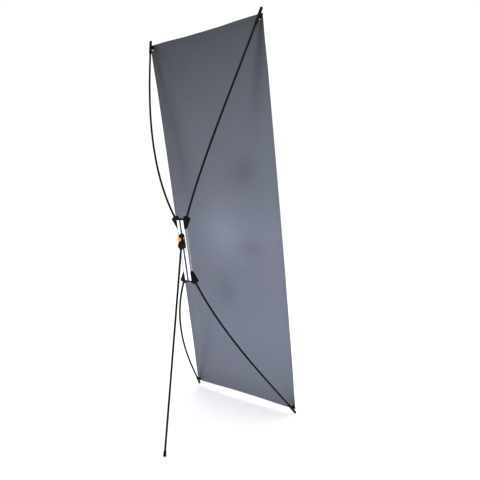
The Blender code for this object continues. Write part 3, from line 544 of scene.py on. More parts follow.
def newTree(name, inputs):
    tree = bpy.data.node_groups.new(name, "GeometryNodeTree")
    tree.interface.new_socket("Geometry", in_out="INPUT", socket_type="NodeSocketGeometry")
    for label, kind, value in (*inputs, ("Material", "Material", None)):
        socket = tree.interface.new_socket(label, in_out="INPUT", socket_type="NodeSocket" + kind)
        if value is not None:
            socket.default_value = value
    tree.interface.new_socket("Geometry", in_out="OUTPUT", socket_type="NodeSocketGeometry")
    return tree, tree.nodes.new("NodeGroupInput").outputs


def closeTree(tree, start, geometry, smooth=True):
    # every tree ends in realised instances with a material
    if smooth:
        geometry = addNode(tree, "GeometryNodeSetShadeSmooth", Geometry=geometry).outputs["Geometry"]
    real = addNode(tree, "GeometryNodeRealizeInstances", Geometry=geometry).outputs["Geometry"]
    paint = addNode(tree, "GeometryNodeSetMaterial", Geometry=real, Material=start["Material"])
    addNode(tree, "NodeGroupOutput", Geometry=paint.outputs["Geometry"])
    return tree


def growPiece(name, tree, source, look, **values):
    # runs a tree on a source object and keeps its result as a plain mesh
    values["Material"] = looks[look]
    step = source.modifiers.new(tree.name, "NODES")
    step.node_group = tree
    for item in tree.interface.items_tree:
        if item.item_type == "SOCKET" and item.in_out == "INPUT" and item.name in values:
            step[item.identifier] = values[item.name]
    mesh = evaluatedMesh(source)
    mesh.materials.clear()
    mesh.materials.append(looks[look])
    mesh.polygons.foreach_set("material_index", [0] * len(mesh.polygons))
    bpy.data.objects.remove(source)
    return addObject(name, mesh)


def curveSource(name, routes, closed=False):
    # poly splines, each a list of points
    data = bpy.data.curves.new(name, "CURVE")
    data.dimensions = "3D"
    for route in routes:
        spline = data.splines.new("POLY")
        spline.points.add(len(route) - 1)
        for point, spot in zip(spline.points, route):
            point.co = (*spot, 1.0)
        spline.use_cyclic_u = closed
    return addObject(name, data)


def pointSource(name, spots, facings):
    mesh = bpy.data.meshes.new(name)
    mesh.from_pydata([tuple(spot) for spot in spots], [], [])
    facing = mesh.attributes.new("facing", "FLOAT_VECTOR", "POINT")
    for item, way in zip(facing.data, facings):
        item.vector = way
    return addObject(name, mesh)


def captured(tree, geometry, label, output):
    # keeps a spline's length or factor under a label, for the swept mesh
    value = tree.nodes.new("GeometryNodeSplineParameter").outputs[output]
    made = addNode(tree, "GeometryNodeCaptureAttribute", Geometry=geometry)
    made.capture_items.new("FLOAT", label)
    tree.links.new(value, made.inputs[label])
    return made.outputs


def rodTree():
    # a tube along the source curve, with its own map: around, then metres along
    tree, start = newTree("rodAlongCurve", [("Diameter", "Float", 0.007), ("Sides", "Int", 24)])
    half = maths(tree, "MULTIPLY", start["Diameter"], 0.5)
    circle = {"mode": "RADIUS"}
    ring = addNode(tree, "GeometryNodeCurvePrimitiveCircle", circle, Radius=half, Resolution=start["Sides"])
    spine = captured(tree, start["Geometry"], "along", "Length")
    loop = captured(tree, ring.outputs["Curve"], "around", "Factor")
    sweep = addNode(tree, "GeometryNodeCurveToMesh", Curve=spine["Geometry"], Fill_Caps=True)
    tree.links.new(loop["Geometry"], sweep.inputs["Profile Curve"])
    places = vectorOf(tree, X=loop["around"], Y=spine["along"])
    store = addNode(tree, "GeometryNodeStoreNamedAttribute", {"data_type": "FLOAT2", "domain": "CORNER"})
    feed(tree, store, {"Geometry": sweep.outputs["Mesh"], "Name": "UVMap", "Value": places})
    return closeTree(tree, start, store.outputs["Geometry"])


def extrusionTree():
    # fills nested outlines and pushes them to a length, closed at both ends
    tree, start = newTree("extrudedSection", [("Length", "Float", 0.2)])
    fill = addNode(tree, "GeometryNodeFillCurve", Curve=start["Geometry"]).outputs["Mesh"]
    offset = vectorOf(tree, Z=start["Length"])
    push = addNode(tree, "GeometryNodeExtrudeMesh", Mesh=fill, Offset=offset, Offset_Scale=1.0)
    push.inputs["Individual"].default_value = False
    flip = addNode(tree, "GeometryNodeFlipFaces", Mesh=fill)
    join = tree.nodes.new("GeometryNodeJoinGeometry")
    for part in (push, flip):
        tree.links.new(part.outputs["Mesh"], join.inputs["Geometry"])
    merge = addNode(tree, "GeometryNodeMergeByDistance", Geometry=join.outputs["Geometry"], Distance=0.00001)
    return closeTree(tree, start, merge.outputs["Geometry"], False)


def fastenerTree():
    # one fastener on each source point, its axis along the point's facing
    tree, start = newTree("fastenersOnPoints", [("Fastener", "Object", None)])
    fastener = addNode(tree, "GeometryNodeObjectInfo", Object=start["Fastener"]).outputs["Geometry"]
    stored = addNode(tree, "GeometryNodeInputNamedAttribute", {"data_type": "FLOAT_VECTOR"}, Name="facing")
    facing = stored.outputs["Attribute"]
    align = addNode(tree, "FunctionNodeAlignRotationToVector", {"axis": "Z"}, Vector=facing)
    place = addNode(tree, "GeometryNodeInstanceOnPoints", Points=start["Geometry"], Instance=fastener)
    tree.links.new(align.outputs["Rotation"], place.inputs["Rotation"])
    return closeTree(tree, start, place.outputs["Instances"], False)


def floatCurve(tree, source, places, heights):
    made = addNode(tree, "ShaderNodeFloatCurve", Value=source)
    line = made.mapping.curves[0]
    while len(line.points) < len(places):
        line.points.new(0.5, 0.5)
    for point, spot in zip(line.points, zip(places, heights)):
        point.location = spot
    made.mapping.update()
    return made.outputs["Value"]


def knobTree():
    # a grid bent round an axis: lobes from a cosine, the section from two curves
    tree, start = newTree("lobedKnob", [
        ("Diameter", "Float", 0.019), ("Height", "Float", 0.013), ("Lobes", "Int", 8),
        ("Scallop", "Float", 0.001), ("Steps", "Int", 129), ("Rings", "Int", 41),
    ])

    def times(first, second):
        return maths(tree, "MULTIPLY", first, second)

    grid = addNode(tree, "GeometryNodeMeshGrid", Size_X=1.0, Size_Y=1.0)
    feed(tree, grid, {"Vertices X": start["Steps"], "Vertices Y": start["Rings"]})
    here = tree.nodes.new("GeometryNodeInputPosition").outputs["Position"]
    split = addNode(tree, "ShaderNodeSeparateXYZ", Vector=here).outputs
    angle = times(maths(tree, "ADD", split["X"], 0.5), 2 * pi)
    share = maths(tree, "ADD", split["Y"], 0.5)
    places, radii, heights = zip(*knob["section"])
    wave = maths(tree, "SUBTRACT", 1.0, maths(tree, "COSINE", times(angle, start["Lobes"])))
    hollow = times(times(wave, 0.5), start["Scallop"])
    full = maths(tree, "SUBTRACT", times(start["Diameter"], 0.5), hollow)
    radius = times(full, floatCurve(tree, share, places, radii))
    spot = vectorOf(
        tree,
        X=times(radius, maths(tree, "COSINE", angle)),
        Y=times(radius, maths(tree, "SINE", angle)),
        Z=times(floatCurve(tree, share, places, heights), start["Height"]),
    )
    move = addNode(tree, "GeometryNodeSetPosition", Geometry=grid.outputs["Mesh"], Position=spot)
    merge = addNode(tree, "GeometryNodeMergeByDistance", Geometry=move.outputs["Geometry"], Distance=0.00002)
    return closeTree(tree, start, merge.outputs["Geometry"])


trees = {"rod": rodTree(), "extrusion": extrusionTree(), "fastener": fastenerTree()}
print("node trees built")


# profile

screw = {
    "spacing": 0.022, "diameter": 0.0038, "head": 0.0062, "headHeight": 0.0018, "length": 0.014,
    "recess": 0.0011, "recessWidth": 0.0006, "recessReach": 0.56, "recessFoot": 0.4,
}
halfProfile = profile["length"] / 2
midDepth = -profile["depth"] / 2
screwBore = screw["diameter"] / 2 + 2 * play
highlightStripEnd = profile["corner"] - profile["depth"] + profile["highlightStripWidth"]  # where the sides' painted highlight strip ends


def slotOutline():
    half, depth, corner = profile["width"] / 2, profile["depth"], profile["corner"]
    mouth, chamber = profile["mouth"] / 2, profile["slotWidth"] / 2
    lip, f = profile["lip"], profile["slotFillet"]
    floor = lip + profile["slotHeight"]
    made = arc((half - corner, -corner), corner, pi / 2, 0, 8) + [(half, highlightStripEnd)]
    made += arc((half - corner, corner - depth), corner, 0, -pi / 2, 8)
    made += arc((corner - half, corner - depth), corner, -pi / 2, -pi, 8) + [(-half, highlightStripEnd)]
    made += arc((corner - half, -corner), corner, pi, pi / 2, 8)
    left = arc((-mouth - f, -f), f, pi / 2, 0, 4)
    left += arc((-mouth - f / 2, f / 2 - lip), f / 2, 0, -pi / 2, 3)
    left += arc((f - chamber, -lip - f), f, pi / 2, pi, 3)
    left += arc((f - chamber, f - floor), f, pi, 3 * pi / 2, 3)
    return made + left + [(-x, y) for x, y in reversed(left)]


def ringOf(center, radius, steps=24):
    return arc(center, radius, 0, 2 * pi * (steps - 1) / steps, steps - 1)


def boxRing(low, high, fillet=0.0005):
    (x0, y0), (x1, y1) = low, high
    middles = [(x1 - fillet, y1 - fillet), (x0 + fillet, y1 - fillet), (x0 + fillet, y0 + fillet),
               (x1 - fillet, y0 + fillet)]
    made = []
    for quarter, middle in enumerate(middles):
        made += arc(middle, fillet, quarter * pi / 2, (quarter + 1) * pi / 2, 3)
    return made


def inGroove(face, near=0.0001):
    # a wall of the slot: between its lips, or in the wider part behind them
    across, behind = abs(face.center.x), face.center.y
    if abs(face.normal.z) > 0.5:
        return False
    if behind > -profile["lip"]:
        return across < profile["mouth"] / 2 + near / 10
    floor = -profile["lip"] - profile["slotHeight"] - near
    return across < profile["slotWidth"] / 2 + near and behind > floor


def buildProfile():
    wall, inset = profile["wall"], 0.0002
    floor, underSlot = wall - profile["depth"], -profile["lip"] - profile["slotHeight"] - wall
    half = profile["slotWidth"] / 2 - inset
    rings = [slotOutline(), boxRing((-half, floor), (half, underSlot))]
    for side in (-1, 1):
        low, high = sorted((side * (profile["slotWidth"] / 2 + wall), side * (profile["width"] / 2 - wall)))
        rings.append(boxRing((low, midDepth + screwBore + profile["channelWall"]), (high, -wall)))
        rings.append(boxRing((low, floor), (high, midDepth - screwBore - profile["channelWall"])))
        rings.append(ringOf((side * screw["spacing"] / 2, midDepth), screwBore))
    source = curveSource("profileSection", [[(x, y, 0) for x, y in ring] for ring in rings], True)
    source.data.dimensions = "2D"
    made = growPiece("slottedProfile", trees["extrusion"], source, "silver", Length=profile["length"])
    made.data.transform(Matrix.Translation((0, 0, -halfProfile)))
    mend(made.data, True)
    # the slot's walls take painted shade, the sides a darker copy of the anodising as painted shade, and a
    # strip along their front edge a painted highlight
    for look in ("groove", "side", "lip"):
        made.data.materials.append(looks[look])
    for face in made.data.polygons:
        if inGroove(face):
            face.material_index = 1
        elif abs(face.center.x) > profile["width"] / 2 - 0.00001:
            face.material_index = 3 if face.center.y < highlightStripEnd else 2
    fitPiece(made, hubFrame, "hub", "profile", "hub_profile", 30)


buildProfile()
print("profile drawn")


# end caps, screws and rivets

cap = {"thickness": 0.0055, "lug": 0.0030, "lugWall": 0.0033, "edge": 0.0006, "step": 0.0004}
panel = {"margin": 0.0016, "low": -0.0155, "high": -0.0045, "depth": 0.0005}  # sunk between the screws
rivet = {"diameter": 0.0030, "head": 0.0054, "headHeight": 0.0009, "outboard": 0.0033, "beyondEnd": 0.0055}
pinX = profile["width"] / 2 + rivet["outboard"]
pinZ = halfProfile + rivet["beyondEnd"]
rivetBore = rivet["diameter"] / 2 + play
lugRadius = rivet["diameter"] / 2 + cap["lugWall"]


def capMaster():
    low = halfProfile + gap
    high = low + cap["thickness"]
    right = arc((pinX, pinZ), lugRadius, -pi / 2 + 0.25, pi - 0.12, 24)
    topIn = pinX - lugRadius - cap["step"]
    outline = mirrorOutline([(pinX - lugRadius * 0.8, low)] + right + [(topIn, high)])
    made = solid("capMaster", prism(outline, -profile["depth"], 0, 1), "black")
    slotIn, slotOut = pinX - lugRadius - gap, pinX + 2 * lugRadius
    for side in (-1, 1):
        left, far = sorted((side * slotIn, side * slotOut))
        carve(made, box((left, cap["lug"] - profile["depth"], halfProfile - 0.01),
                        (far, -cap["lug"], pinZ + 2 * lugRadius)))
        drill(made, rivetBore, (side * pinX, midDepth, pinZ), rearwards, -0.03, 0.03, 24)
        drill(made, screwBore, (side * screw["spacing"] / 2, midDepth, halfProfile), upwards, -0.01, 0.02, 24)
    wide = 0.5 * screw["spacing"] - screw["head"] / 2 - panel["margin"]
    carve(made, box((-wide, panel["low"], high - panel["depth"]), (wide, panel["high"], high + 0.002)))
    roundEdges(made, cap["edge"], 3, 50)
    return made


def screwMesh():
    # pan head with a cross recess, its seat at the origin
    head, shank, tall, long = screw["head"] / 2, screw["diameter"] / 2, screw["headHeight"], screw["length"]
    pairs = [(-long, 0.0), (0.0004 - long, shank * 0.6), (0.0015 - long, shank), (0.0, shank)]
    pairs += [(0.0, head * 0.97), (0.0002, head), (tall * 0.5, head), (tall * 0.78, head * 0.90)]
    pairs += [(tall * 0.95, head * 0.66), (tall, head * 0.36), (tall, 0.0)]
    made = solid("screwMaster", turned(pairs, segments=28), "steel")
    wide, reach = screw["recessWidth"] / 2, head * screw["recessReach"]
    for x, y in ((reach, wide), (wide, reach)):  # a cross, one bar at a time, narrower at its foot
        bar, rows = bmesh.new(), []
        for z, share in ((tall - screw["recess"], screw["recessFoot"]), (tall + 0.001, 1.0)):
            ring = ((-x, -y), (x, -y), (x, y), (-x, y))
            rows.append([bar.verts.new((share * u, share * v, z)) for u, v in ring])
            bar.faces.new(rows[-1])
        for i in range(4):
            j = (i + 1) % 4
            bar.faces.new((rows[0][i], rows[0][j], rows[1][j], rows[1][i]))
        carve(made, bar)
    return smoothPiece(made)


def rivetMesh():
    # shank with a domed head at each end, centred
    half, shank = profile["depth"] / 2 + gap, rivet["diameter"] / 2
    head, tall = rivet["head"] / 2, rivet["headHeight"]
    upper = [(half, shank), (half, head * 0.94), (half + 0.12 * tall, head)]
    upper += [(half + tall * sin(a), head * cos(a) ** 0.9) for a in (0.35, 0.65, 0.95, 1.2, 1.4)]
    upper.append((half + tall, 0.0))
    pairs = [(-along, radius) for along, radius in reversed(upper)] + upper
    return smoothPiece(solid("rivetMaster", turned(pairs, segments=28), "rivet"))


def placeFasteners(name, master, look, spots, facings, nodes):
    source = pointSource(name + "Points", spots, facings)
    made = growPiece(name, trees["fastener"], source, look, Fastener=master)
    bpy.data.objects.remove(master)
    made.data.transform(hubFrame)
    made.data.set_sharp_from_angle(angle=radians(edgeAngle))
    rides(made, "hub", look, *nodes)


endCap = capMaster()
for capName, capEnd in (("Upper", 1), ("Lower", -1)):
    cover = mirrored(endCap, "endCap" + capName, 1, capEnd)
    fitPiece(cover, hubFrame, "hub", "moulding", "end_cap_" + capName.lower())
bpy.data.objects.remove(endCap)
screwSeat = halfProfile + 2 * gap + cap["thickness"]
placeFasteners(
    "capScrews", screwMesh(), "steel",
    [(side * screw["spacing"] / 2, midDepth, end * screwSeat) for side, end in sides.values()],
    [(0, 0, end) for side, end in sides.values()],
    ["cap_screw_" + corner for corner in sides],
)
placeFasteners(
    "hingeRivets", rivetMesh(), "rivet",
    [(side * pinX, midDepth, end * pinZ) for side, end in sides.values()],
    [rearwards for corner in sides],
    ["arm_rivet_" + corner for corner in sides],
)
print("end caps, screws and rivets in place")


# arm sockets

socket = {
    "splay": radians(25.6), "thickness": 0.0170, "hingeWall": 0.0021, "mouthReach": 0.01025,
    "mouthOuter": 0.0140, "mouthInner": 0.0130, "tail": 0.0440, "depth": 0.018, "edge": 0.0016,
    "collarWall": 0.00225, "collarLength": 0.004,
}
relief = {
    "depth": 0.0010, "margin": 0.0032, "width": 0.0085, "low": -0.0330, "middle": -0.0165, "high": -0.0140,
}
pole = {
    "diameter": 0.0081, "startPull": 0.243, "endPull": 0.258, "endDip": radians(28.0),
    "endTurn": radians(14.25), "steps": 90, "sides": 28,
}
rodBore = pole["diameter"] / 2 + fits["rod"]
knuckle = profile["depth"] - 2 * cap["lug"] - 2 * gap
axisOffset = rivetBore + socket["hingeWall"] + rodBore


def poleAxis(side, end):
    return Vector((side * sin(socket["splay"]), 0, end * cos(socket["splay"])))


def poleNormal(side, end):
    return Vector((side * cos(socket["splay"]), 0, -end * sin(socket["splay"])))


def mouthCenter(side, end):
    return socket["mouthReach"] * poleAxis(side, end) + axisOffset * poleNormal(side, end)


def socketMaster():
    half = socket["thickness"] / 2
    inner = profile["width"] / 2 + gap - pinX
    mouth, axis, normal = mouthCenter(1, 1), poleAxis(1, 1), poleNormal(1, 1)
    outer, innerCorner = mouth + socket["mouthOuter"] * normal, mouth - socket["mouthInner"] * normal
    points = [
        (inner, 0.0015 - socket["tail"]), (inner + 0.0020, -0.0010 - socket["tail"]),
        (outer.x - 0.0008, outer.z - 0.0020), (outer.x, outer.z),
        (innerCorner.x, innerCorner.z), (inner, -lugRadius - 2 * gap),
    ]
    made = solid("socketMaster", prism(points, -half, half, 1), "black")
    roundEdges(made, socket["edge"], 5)
    radius, reach = lugRadius + gap, 2.2 * lugRadius
    pocket = arc(origin, radius, -pi / 2, pi / 2, 32)
    pocket += [(-reach, radius), (-reach, -radius - gap), (0, -radius - gap)]
    near, foot = half - relief["depth"], inner + relief["margin"]
    outline = [(foot, relief["low"]), (foot + relief["width"], relief["middle"]), (foot, relief["high"])]
    for section, low, high in ((pocket, knuckle / 2, half + 0.004), (outline, near, half + 0.005)):
        carve(made, prism(section, low, high, 1))
        carve(made, prism(section, -high, -low, 1))
    weld(made, turned([(-knuckle / 2, lugRadius), (knuckle / 2, lugRadius)], origin, rearwards, 48))
    wide, tall = rodBore + socket["collarWall"], socket["collarLength"]
    lip = [(-0.006, wide), (tall * 0.55, wide), (tall * 0.85, wide * 0.94), (tall, wide * 0.84)]
    weld(made, turned(lip, mouth, axis, 40))
    drill(made, rodBore, mouth, axis, -socket["depth"], tall + 0.01)
    drill(made, rivetBore, segments=24)
    return made


armSocket = socketMaster()
for corner, (side, end) in sides.items():
    piece = mirrored(armSocket, "socket_" + corner, side, end)
    fitPiece(piece, pinFrames[corner], "arm_" + corner, "moulding", "arm_socket_" + corner)
bpy.data.objects.remove(armSocket)
print("arm sockets moulded")


# poles, corner tips and eyelets

eyelet = {"inset": 0.012, "bore": 0.010, "flange": 0.020, "barrel": 0.0005, "sheet": 0.0008}
tip = {
    "wall": 0.00170, "sleeve": 0.034, "nose": 0.0382, "web": 0.0022, "clearance": 0.0013,
    "pegDiameter": 0.0065, "pegHead": 0.0092, "pegHeadHeight": 0.0016, "pegStem": 0.0086,
    "pad": 0.0184, "padThickness": 0.0020,
}
tipRadius = rodBore + tip["wall"]  # also the radius of its rounded nose
tipBore = tip["sleeve"] - tip["pegStem"] / 2 - tip["web"]
standoff = tipRadius / cos(pole["endDip"]) + sheet["thickness"] / 2 + tip["clearance"]
standoff += eyelet["inset"] * tan(pole["endDip"]) / cos(pole["endTurn"])


def eyeletSpot(side, end):
    x, z = sheet["width"] / 2 - eyelet["inset"], sheet["height"] / 2 - eyelet["inset"]
    return Vector((side * x, -sheet["setback"], end * z))


def fromPin(spot, side, end):
    # a place in the hub's frame, as seen from the arm's own pin
    return spot - Vector((side * pinX, midDepth, end * pinZ))


def tipAxis(side, end):
    flat, turnOut = cos(pole["endDip"]), pole["endTurn"]
    return Vector((side * flat * sin(turnOut), -sin(pole["endDip"]), end * flat * cos(turnOut)))


def tipSpot(side, end):
    shift = (eyelet["bore"] - tip["pegDiameter"]) / 2 - gap
    outward = Vector((side * sin(pole["endTurn"]), 0, end * cos(pole["endTurn"])))
    return fromPin(eyeletSpot(side, end) + shift * outward + Vector((0, standoff, 0)), side, end)


def poleRoute(side, end):
    # straight in the socket and the tip, one smooth bend between them
    mouth, axis, direction = mouthCenter(side, end), poleAxis(side, end), tipAxis(side, end)
    sleeve = tipSpot(side, end) - tip["sleeve"] * direction
    pulls = (mouth, mouth + pole["startPull"] * axis, sleeve - pole["endPull"] * direction, sleeve)
    route = [mouth - (socket["depth"] - gap) * axis]
    for k in range(pole["steps"] + 1):
        t = k / pole["steps"]
        shares = ((1 - t) ** 3, 3 * t * (1 - t) ** 2, 3 * t**2 * (1 - t), t**3)
        route.append(sum((share * pull for share, pull in zip(shares, pulls)), Vector()))
    return route + [sleeve + (tipBore - gap) * direction]


def rodAlong(name, sourceName, route):
    source = curveSource(sourceName, [route])
    return growPiece(name, trees["rod"], source, "fibre", Diameter=pole["diameter"], Sides=pole["sides"])


def buildPole(corner):
    place = pinFrames[corner]
    made = rodAlong("bentPole_" + corner, "poleRoute", [place @ spot for spot in poleRoute(*sides[corner])])
    fitPiece(made, None, "arm_" + corner, "pole", "pole_" + corner)


def tipMaster():
    crossing, direction = tipSpot(1, 1), tipAxis(1, 1)
    start, nose = -tip["sleeve"], tip["nose"] - tipRadius
    barrel = [(start, tipRadius * 0.90), (start + 0.0008, tipRadius * 0.98), (start + 0.0020, tipRadius)]
    barrel += [(nose, tipRadius)] + dome(nose, tipRadius)
    made = solid("tipMaster", turned(barrel, crossing, direction, 40), "black")
    rim = sheet["thickness"] / 2 + gap + eyelet["sheet"]
    seat = standoff - rim - gap  # the pad's face, measured from the pole's line towards the sheet
    stem, pad, thick, peg = tip["pegStem"] / 2, tip["pad"] / 2, tip["padThickness"], tip["pegDiameter"] / 2
    head, high, wide = standoff + rim + gap, tip["pegHeadHeight"], tip["pegHead"] / 2
    pairs = [(0.0, stem), (seat - 2.2 * thick, stem), (seat - 1.5 * thick, stem * 1.12)]
    pairs += [(seat - thick, pad * 0.82), (seat - 0.7 * thick, pad), (seat - 0.0002, pad)]
    pairs += [(seat, pad - 0.0003), (seat, peg), (head, peg), (head, wide - 0.0002), (head + 0.0002, wide)]
    pairs += [(head + 0.5 * high, wide), (head + 0.85 * high, wide * 0.84)]
    pairs += [(head + high, wide * 0.6), (head + high, 0.0)]
    weld(made, turned(pairs, crossing, (0, -1, 0), 40))
    drill(made, rodBore, crossing, direction, start - 0.01, start + tipBore)
    return made


def buildTip(corner):
    made = mirrored(armTip, "tip_" + corner, *sides[corner])
    fitPiece(made, pinFrames[corner], "arm_" + corner, "moulding", "corner_tip_" + corner)


def buildEyelet(corner):
    # a rolled ring on each face of the sheet, joined through the hole
    bore, rim = eyelet["bore"] / 2, eyelet["flange"] / 2
    wall, seat = bore + eyelet["barrel"], sheet["thickness"] / 2 + gap
    crown = seat + eyelet["sheet"]
    face = [(0.0, bore), (seat * 0.8, bore), (crown - 0.0004, bore + 0.0001), (crown - 0.0001, bore + 0.0005)]
    face += [(crown, wall + 0.0006), (crown - 0.0001, wall + 0.0015), (crown - 0.00025, rim - 0.0020)]
    face += [(crown - 0.0003, rim - 0.0012), (crown - 0.0002, rim - 0.0006), (crown - 0.0004, rim - 0.0001)]
    face += [(seat, rim), (seat, wall)]
    loop = face + [(-along, radius) for along, radius in reversed(face[1:])]
    spot = fromPin(eyeletSpot(*sides[corner]), *sides[corner])
    made = solid("eyeletRing_" + corner, turned(loop, spot, rearwards, 48, True), "nickel")
    fitPiece(made, pinFrames[corner], "arm_" + corner, "eyelet", "eyelet_" + corner, 50)


armTip = tipMaster()
for corner in sides:
    buildPole(corner)
    buildTip(corner)
    buildEyelet(corner)
bpy.data.objects.remove(armTip)
print("poles, tips and eyelets in place")


# sheet

drape = {
    "sideBow": 0.0065, "edgeSag": 0.004, "fullness": 0.0015, "foldDepth": 0.003, "foldWidth": 0.028,
    "foldInset": 0.062, "foldDrift": 0.02, "cornerBlend": 0.22, "stillCorner": 0.045, "rippleDepth": 0.0012,
    "farCreases": 0.6, "cell": 0.0055, "edgeBand": 0.020,
}
cornerFlat = eyelet["inset"] + 1.9 * eyelet["flange"]

# a crease starts at an inset from the side edge, drifts in and widens with the distance from the end,
# and fades over its reach; its depth is in metres, or a share of the tone where it is painted shade
creaseKeys = ("inset", "drift", "width", "widen", "reach", "depth")
edgeCrease = dict(zip(creaseKeys, (0.016, 0.10, 0.011, 0.035, 0.36, 0.0035)))
slantCrease = dict(zip(creaseKeys, (0.020, 0.42, 0.010, 0.06, 0.20, -0.001925)))
# painted shade along the creases from each corner's eyelet
paintedCreaseShades = {
    "upper_left": dict(zip(creaseKeys, (0.004, 0.20, 0.010, 0.08, 0.34, 0.47))),
    "upper_right": dict(zip(creaseKeys, (0.010, 0.13, 0.014, 0.10, 0.60, 0.38))),
    "lower_right": dict(zip(creaseKeys, (0.008, 0.36, 0.010, 0.09, 0.34, 0.15))),
    "lower_left": dict(zip(creaseKeys, (0.010, 0.20, 0.010, 0.08, 0.16, 0.12))),
}
ripple = {"across": 5.5, "up": 3.2, "slice": 4.7}  # waves per metre, and which slice of the noise
# painted shade: darker near the side edges (rim), towards the +X side and more so at the top (slope,
# slopeRise), and at both sides more towards the bottom (hollow)
paintedBackShade = {"rim": 0.07, "rimWidth": 0.022, "slope": 0.115, "slopeRise": 0.075, "hollow": 0.025}
paintedPatches = [
    # painted shade in soft patches: across, up, width, height, and how much darker; below nought is lighter,
    # a painted highlight
    (-0.149, 0.290, 0.055, 0.058, 0.20), (-0.085, 0.262, 0.050, 0.040, 0.06),
    (-0.140, -0.080, 0.065, 0.038, 0.18), (0.032, -0.311, 0.052, 0.075, 0.14),
    (0.005, -0.02, 0.11, 0.13, -0.19), (0.06, 0.10, 0.16, 0.18, -0.09),
]


def bell(value, width):
    return exp(-((value / width) ** 2))


def creaseAt(form, fromSide, fromEnd):
    offset = fromSide - form["inset"] - form["drift"] * fromEnd
    spread = form["width"] + form["widen"] * fromEnd
    return form["depth"] * bell(offset, spread) * bell(fromEnd, form["reach"])


def sheetPoint(across, up):
    # taut between its corners: hollow at both ends, full at the sides, with a shallow fold down each side
    # and creases from the eyelets
    halfWide, halfTall = sheet["width"] / 2, sheet["height"] / 2
    share, rise = across / halfWide, up / halfTall
    fromSide, fromEnd = halfWide - abs(across), halfTall - abs(up)
    corner = Vector((fromSide, fromEnd)).length
    free = ease(corner, cornerFlat, drape["cornerBlend"])
    bow = -drape["sideBow"] * share**2 * (1 - rise**4)
    foldLine = halfWide - drape["foldInset"] - drape["foldDrift"] * (1 - rise**2)
    fold = drape["foldDepth"] * bell(abs(across) - foldLine, drape["foldWidth"])
    spread = across * (1 + free * drape["fullness"] / halfWide * (1 - rise**2))
    sag = drape["edgeSag"] * (1 - share**2) * abs(rise) ** 9 * (1 if up > 0 else -1)
    strength = 1.0 if across < 0 else drape["farCreases"]  # deeper at the edge nearer the camera
    start = ease(corner, 0.6 * cornerFlat, 1.9 * cornerFlat)
    crease = creaseAt(edgeCrease, fromSide, fromEnd) + creaseAt(slantCrease, fromSide, fromEnd)
    wave = noise.noise(Vector((across * ripple["across"], up * ripple["up"], ripple["slice"])))
    lift = free * (bow + fold * (1 - rise**8)) + strength * start * crease
    lift += drape["rippleDepth"] * free * wave * (1 - rise**8)
    return Vector((spread, lift, up - free * sag))


def creaseShade(across, up):
    # painted shade on the back: darker along the creases from the eyelets, near the side edges, towards one
    # side and in soft patches; lighter in painted highlights
    fromSide = sheet["width"] / 2 - abs(across)
    shade = paintedBackShade["rim"] * bell(fromSide, paintedBackShade["rimWidth"])
    for corner, form in paintedCreaseShades.items():
        side, end = sides[corner]
        if side * across >= 0:
            shade += creaseAt(form, fromSide, sheet["height"] / 2 - end * up)
    share, rise = 2 * across / sheet["width"], 2 * up / sheet["height"]
    shade += (paintedBackShade["slope"] + paintedBackShade["slopeRise"] * rise) * share
    shade += paintedBackShade["hollow"] * (1 - rise) * share**2
    for x, z, wide, tall, depth in paintedPatches:
        shade += depth * bell(across - x, wide) * bell(up - z, tall)
    return shade


def gridLines(half, cell):
    # even cells, drawn closer over the last band to the edge
    inside, band = half - drape["edgeBand"], drape["edgeBand"]
    count = round(inside / cell)
    return [inside * k / count for k in range(count)] + [inside + band * k / 4 for k in range(5)]


def sheetQuarter(corner):
    side, end = sides[corner]
    columns = [side * line for line in gridLines(sheet["width"] / 2, drape["cell"])]
    rows = [end * line for line in gridLines(sheet["height"] / 2, 1.3 * drape["cell"])]
    shape = bmesh.new()
    layer = shape.loops.layers.uv.new("UVMap")
    # each point keeps its painted shade, for the back's material
    shadeLayer = shape.verts.layers.float.new("creaseShade")
    flatOf, grid = {}, []
    for z in rows:
        line = [shape.verts.new(sheetPoint(x, z) + Vector((0, -sheet["setback"], 0))) for x in columns]
        for x, vertex in zip(columns, line):
            vertex[shadeLayer] = creaseShade(x, z)
            flatOf[vertex] = (x / sheet["width"] + 0.5, z / sheet["height"] + 0.5)
        grid.append(line)
    for low, high in zip(grid, grid[1:]):
        for i in range(len(columns) - 1):
            ring = [low[i], low[i + 1], high[i + 1], high[i]]
            if side * end > 0:
                ring.reverse()
            for loop in shape.faces.new(ring).loops:
                loop[layer].uv = flatOf[loop.vert]
    mesh = bpy.data.meshes.new("banner_" + corner)
    shape.to_mesh(mesh)
    shape.free()
    for look in ("back", "front", "edge"):
        mesh.materials.append(looks[look])
    return addObject("banner_" + corner, mesh)


def buildSheet(corner):
    side, end = sides[corner]
    made = sheetQuarter(corner)
    wall = made.modifiers.new("sheet thickness", "SOLIDIFY")
    wall.thickness, wall.offset = sheet["thickness"], 0.0
    wall.material_offset, wall.material_offset_rim = 1, 2
    settle(made)
    drill(made, eyelet["bore"] / 2 + eyelet["barrel"] + gap, eyeletSpot(side, end), rearwards, -0.01, 0.01)
    made.data.transform(hubFrame)
    made.data.shade_smooth()
    made.data.set_sharp_from_angle(angle=radians(45))
    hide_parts("banner_sheet")
    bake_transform(made)


for corner in sides:
    buildSheet(corner)
print("sheet stretched")


# slider, clamp and knob

